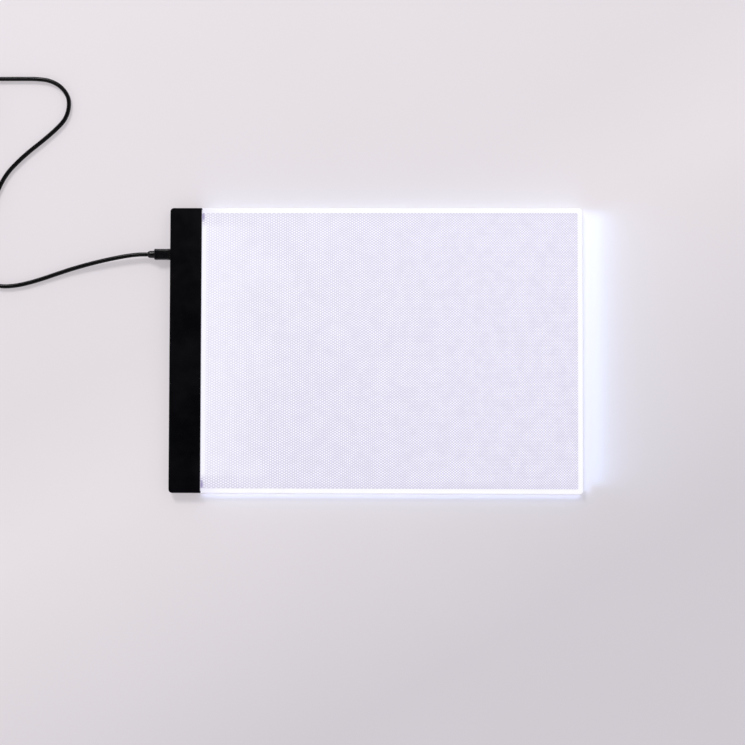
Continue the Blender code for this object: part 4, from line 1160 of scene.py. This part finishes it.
def makeTie(plan):
    turns = (plan["angle"] - 90.0) / 360.0
    crossed = []
    while turns < 2 * cordPlan["coilTurns"]:
        crossed.append(coilPlace(cordPlan, turns))
        turns += 1
    half = plan["width"] / 2
    section = roundedPlan((-half, 0), (half, plan["thickness"]), [plan["edge"]] * 4, 4)

    def ringAt(turn, out):
        # the strip's section where it faces this way, tight round the outermost cord
        y, z = math.cos(turn), math.sin(turn)
        cordY, cordZ = max(crossed, key=lambda place: place[0] * y + place[1] * z)
        reach = cordPlan["diameter"] / 2 + plan["gap"] + out
        return [(x, cordY + y * (reach + deep), cordZ + z * (reach + deep)) for x, deep in section]

    steps = plan["steps"]
    band = loftRings([ringAt(math.tau * step / steps, 0.0) for step in range(steps)], closed=True)
    start, end = (math.radians(angle) for angle in plan["tab"])
    laid = plan["thickness"] + plan["tabGap"]
    steps = plan["tabSteps"]
    tab = loftRings([ringAt(start + (end - start) * step / steps, laid) for step in range(steps + 1)])
    turn = Matrix.Rotation(math.radians(plan["angle"] - 90.0), 4, "Z")
    where = Matrix.Translation(cordPlan["coilCentre"]) @ turn
    look = patterned("blackTieStrip", *plan["weave"], specular=0.25, pattern=cells)
    mesh = weighted(moved(joined([band, tab]), where))
    finished("coilTie", mesh, look, "cable", ["coil_tie"])


makeTie(tiePlan)


# The socket in the bar
def makeSocket(steel):
    y, z = barPlan["socket"]
    plan = {
        "face": (-0.1698, y, z), "turn": 180.0,
        "shell": (0.0075, 0.00265, 0.00025, 0.00065), "reach": (-0.0060, 0.0),
    }
    finished("socketSleeve", sleeveMesh(plan), steel, "pad", ["usb_socket_shell"])


makeSocket(plugSteel)
print("stage: plugs, tie and socket")


# Finishes for the CAD pieces that stay
def boardLook(name, mask, tracks, gap):
    # solder mask with paler copper tracks showing under it
    look, tree, shader = newLook(name, mask, 0.32)
    brick = addNode(tree, "ShaderNodeTexBrick", {
        "Scale": gap, "Mortar Size": 0.035, "Vector": objectPoint(tree),
        "Color1": (*mask, 1.0), "Color2": (*mask, 1.0), "Mortar": (*tracks, 1.0),
    }, offset=0.5)
    wander = noise(tree, 300, 3.0)
    colour = blended(tree, ranged(tree, wander, 0.4, 0.6), brick.outputs["Color"], mask)
    feed(tree, shader, {"Base Color": colour})
    roughened(tree, shader, wander, 0.26, 0.42)
    grained(tree, shader, brick.outputs["Fac"], 0.00003, 0.4)
    return look


def ledLook():
    look, tree, shader = newLook("whiteLamps", (0.80, 0.78, 0.70), 0.35)
    mottled(tree, shader, (0.74, 0.72, 0.64), (0.84, 0.83, 0.78), 1500, 0.3, 0.45)
    glow = blended(tree, ranged(tree, noise(tree, 800, 2.0), 0.3, 0.7), (0.92, 0.95, 1.0), (1.0, 1.0, 1.0))
    glowing(tree, shader, glow, 1.2)
    grained(tree, shader, noise(tree, 4000, 2.0), 0.00001, 0.4)
    return look


keptFinishes = {  # two colours, the pattern's scale, two roughnesses, the grain and its depth
    "reflector_sheet": (
        "whiteReflector", (0.77, 0.77, 0.79), (0.82, 0.82, 0.84), 40, (0.44, 0.58), (1800, 3.0), 0.00001, 0.4,
    ),
    "panel_tape": (
        "whiteTape", (0.72, 0.72, 0.70), (0.81, 0.81, 0.79), 120, (0.5, 0.7),
        (900, 4.0, 0.6, (1.0, 0.1, 1.0)), 0.00002,
    ),
    "touch_chip": (
        "chipResin", (0.012, 0.012, 0.013), (0.022, 0.022, 0.023), 1200, (0.5, 0.7), (4800, 3.0), 0.00002,
    ),
    "filter_capacitor": (
        "ceramicChip", (0.30, 0.21, 0.13), (0.40, 0.29, 0.19), 900, (0.4, 0.55), (3600, 3.0), 0.00001,
    ),
    "wire_positive": (
        "redWireJacket", (0.42, 0.010, 0.010), (0.55, 0.020, 0.018), 1500, (0.3, 0.45), (6000, 3.0), 0.00001,
    ),
    "wire_negative": (
        "blackWireJacket", (0.008, 0.008, 0.009), (0.016, 0.016, 0.017), 1500, (0.3, 0.45),
        (6000, 3.0), 0.00001,
    ),
    "usb_socket_tongue": (
        "blackInsert", (0.010, 0.010, 0.011), (0.020, 0.020, 0.021), 1500, (0.4, 0.55), (6000, 3.0), 0.00001,
    ),
}


def dressKeptPieces(steel):
    looks = {node: patterned(*finish) for node, finish in keptFinishes.items()}
    looks["led_strip_board"] = boardLook("whiteStripBoard", (0.72, 0.72, 0.70), (0.62, 0.60, 0.54), 160)
    looks["controller_board"] = boardLook("greenBoard", (0.010, 0.085, 0.035), (0.030, 0.190, 0.085), 320)
    looks["touch_spring"] = steel
    looks["power_transistor"] = looks["touch_chip"]
    looks["micro_plug_insert"] = looks["usb_socket_tongue"]
    looks["usb_a_insert"] = looks["usb_socket_tongue"]
    lamp = ledLook()
    for number in range(1, 21):
        looks[f"led_{number:02d}"] = lamp
    for node, look in looks.items():
        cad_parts[node].material_slots[0].material = look


dressKeptPieces(plugSteel)
scene.view_settings.view_transform = "Standard"

print("stage: finishing")
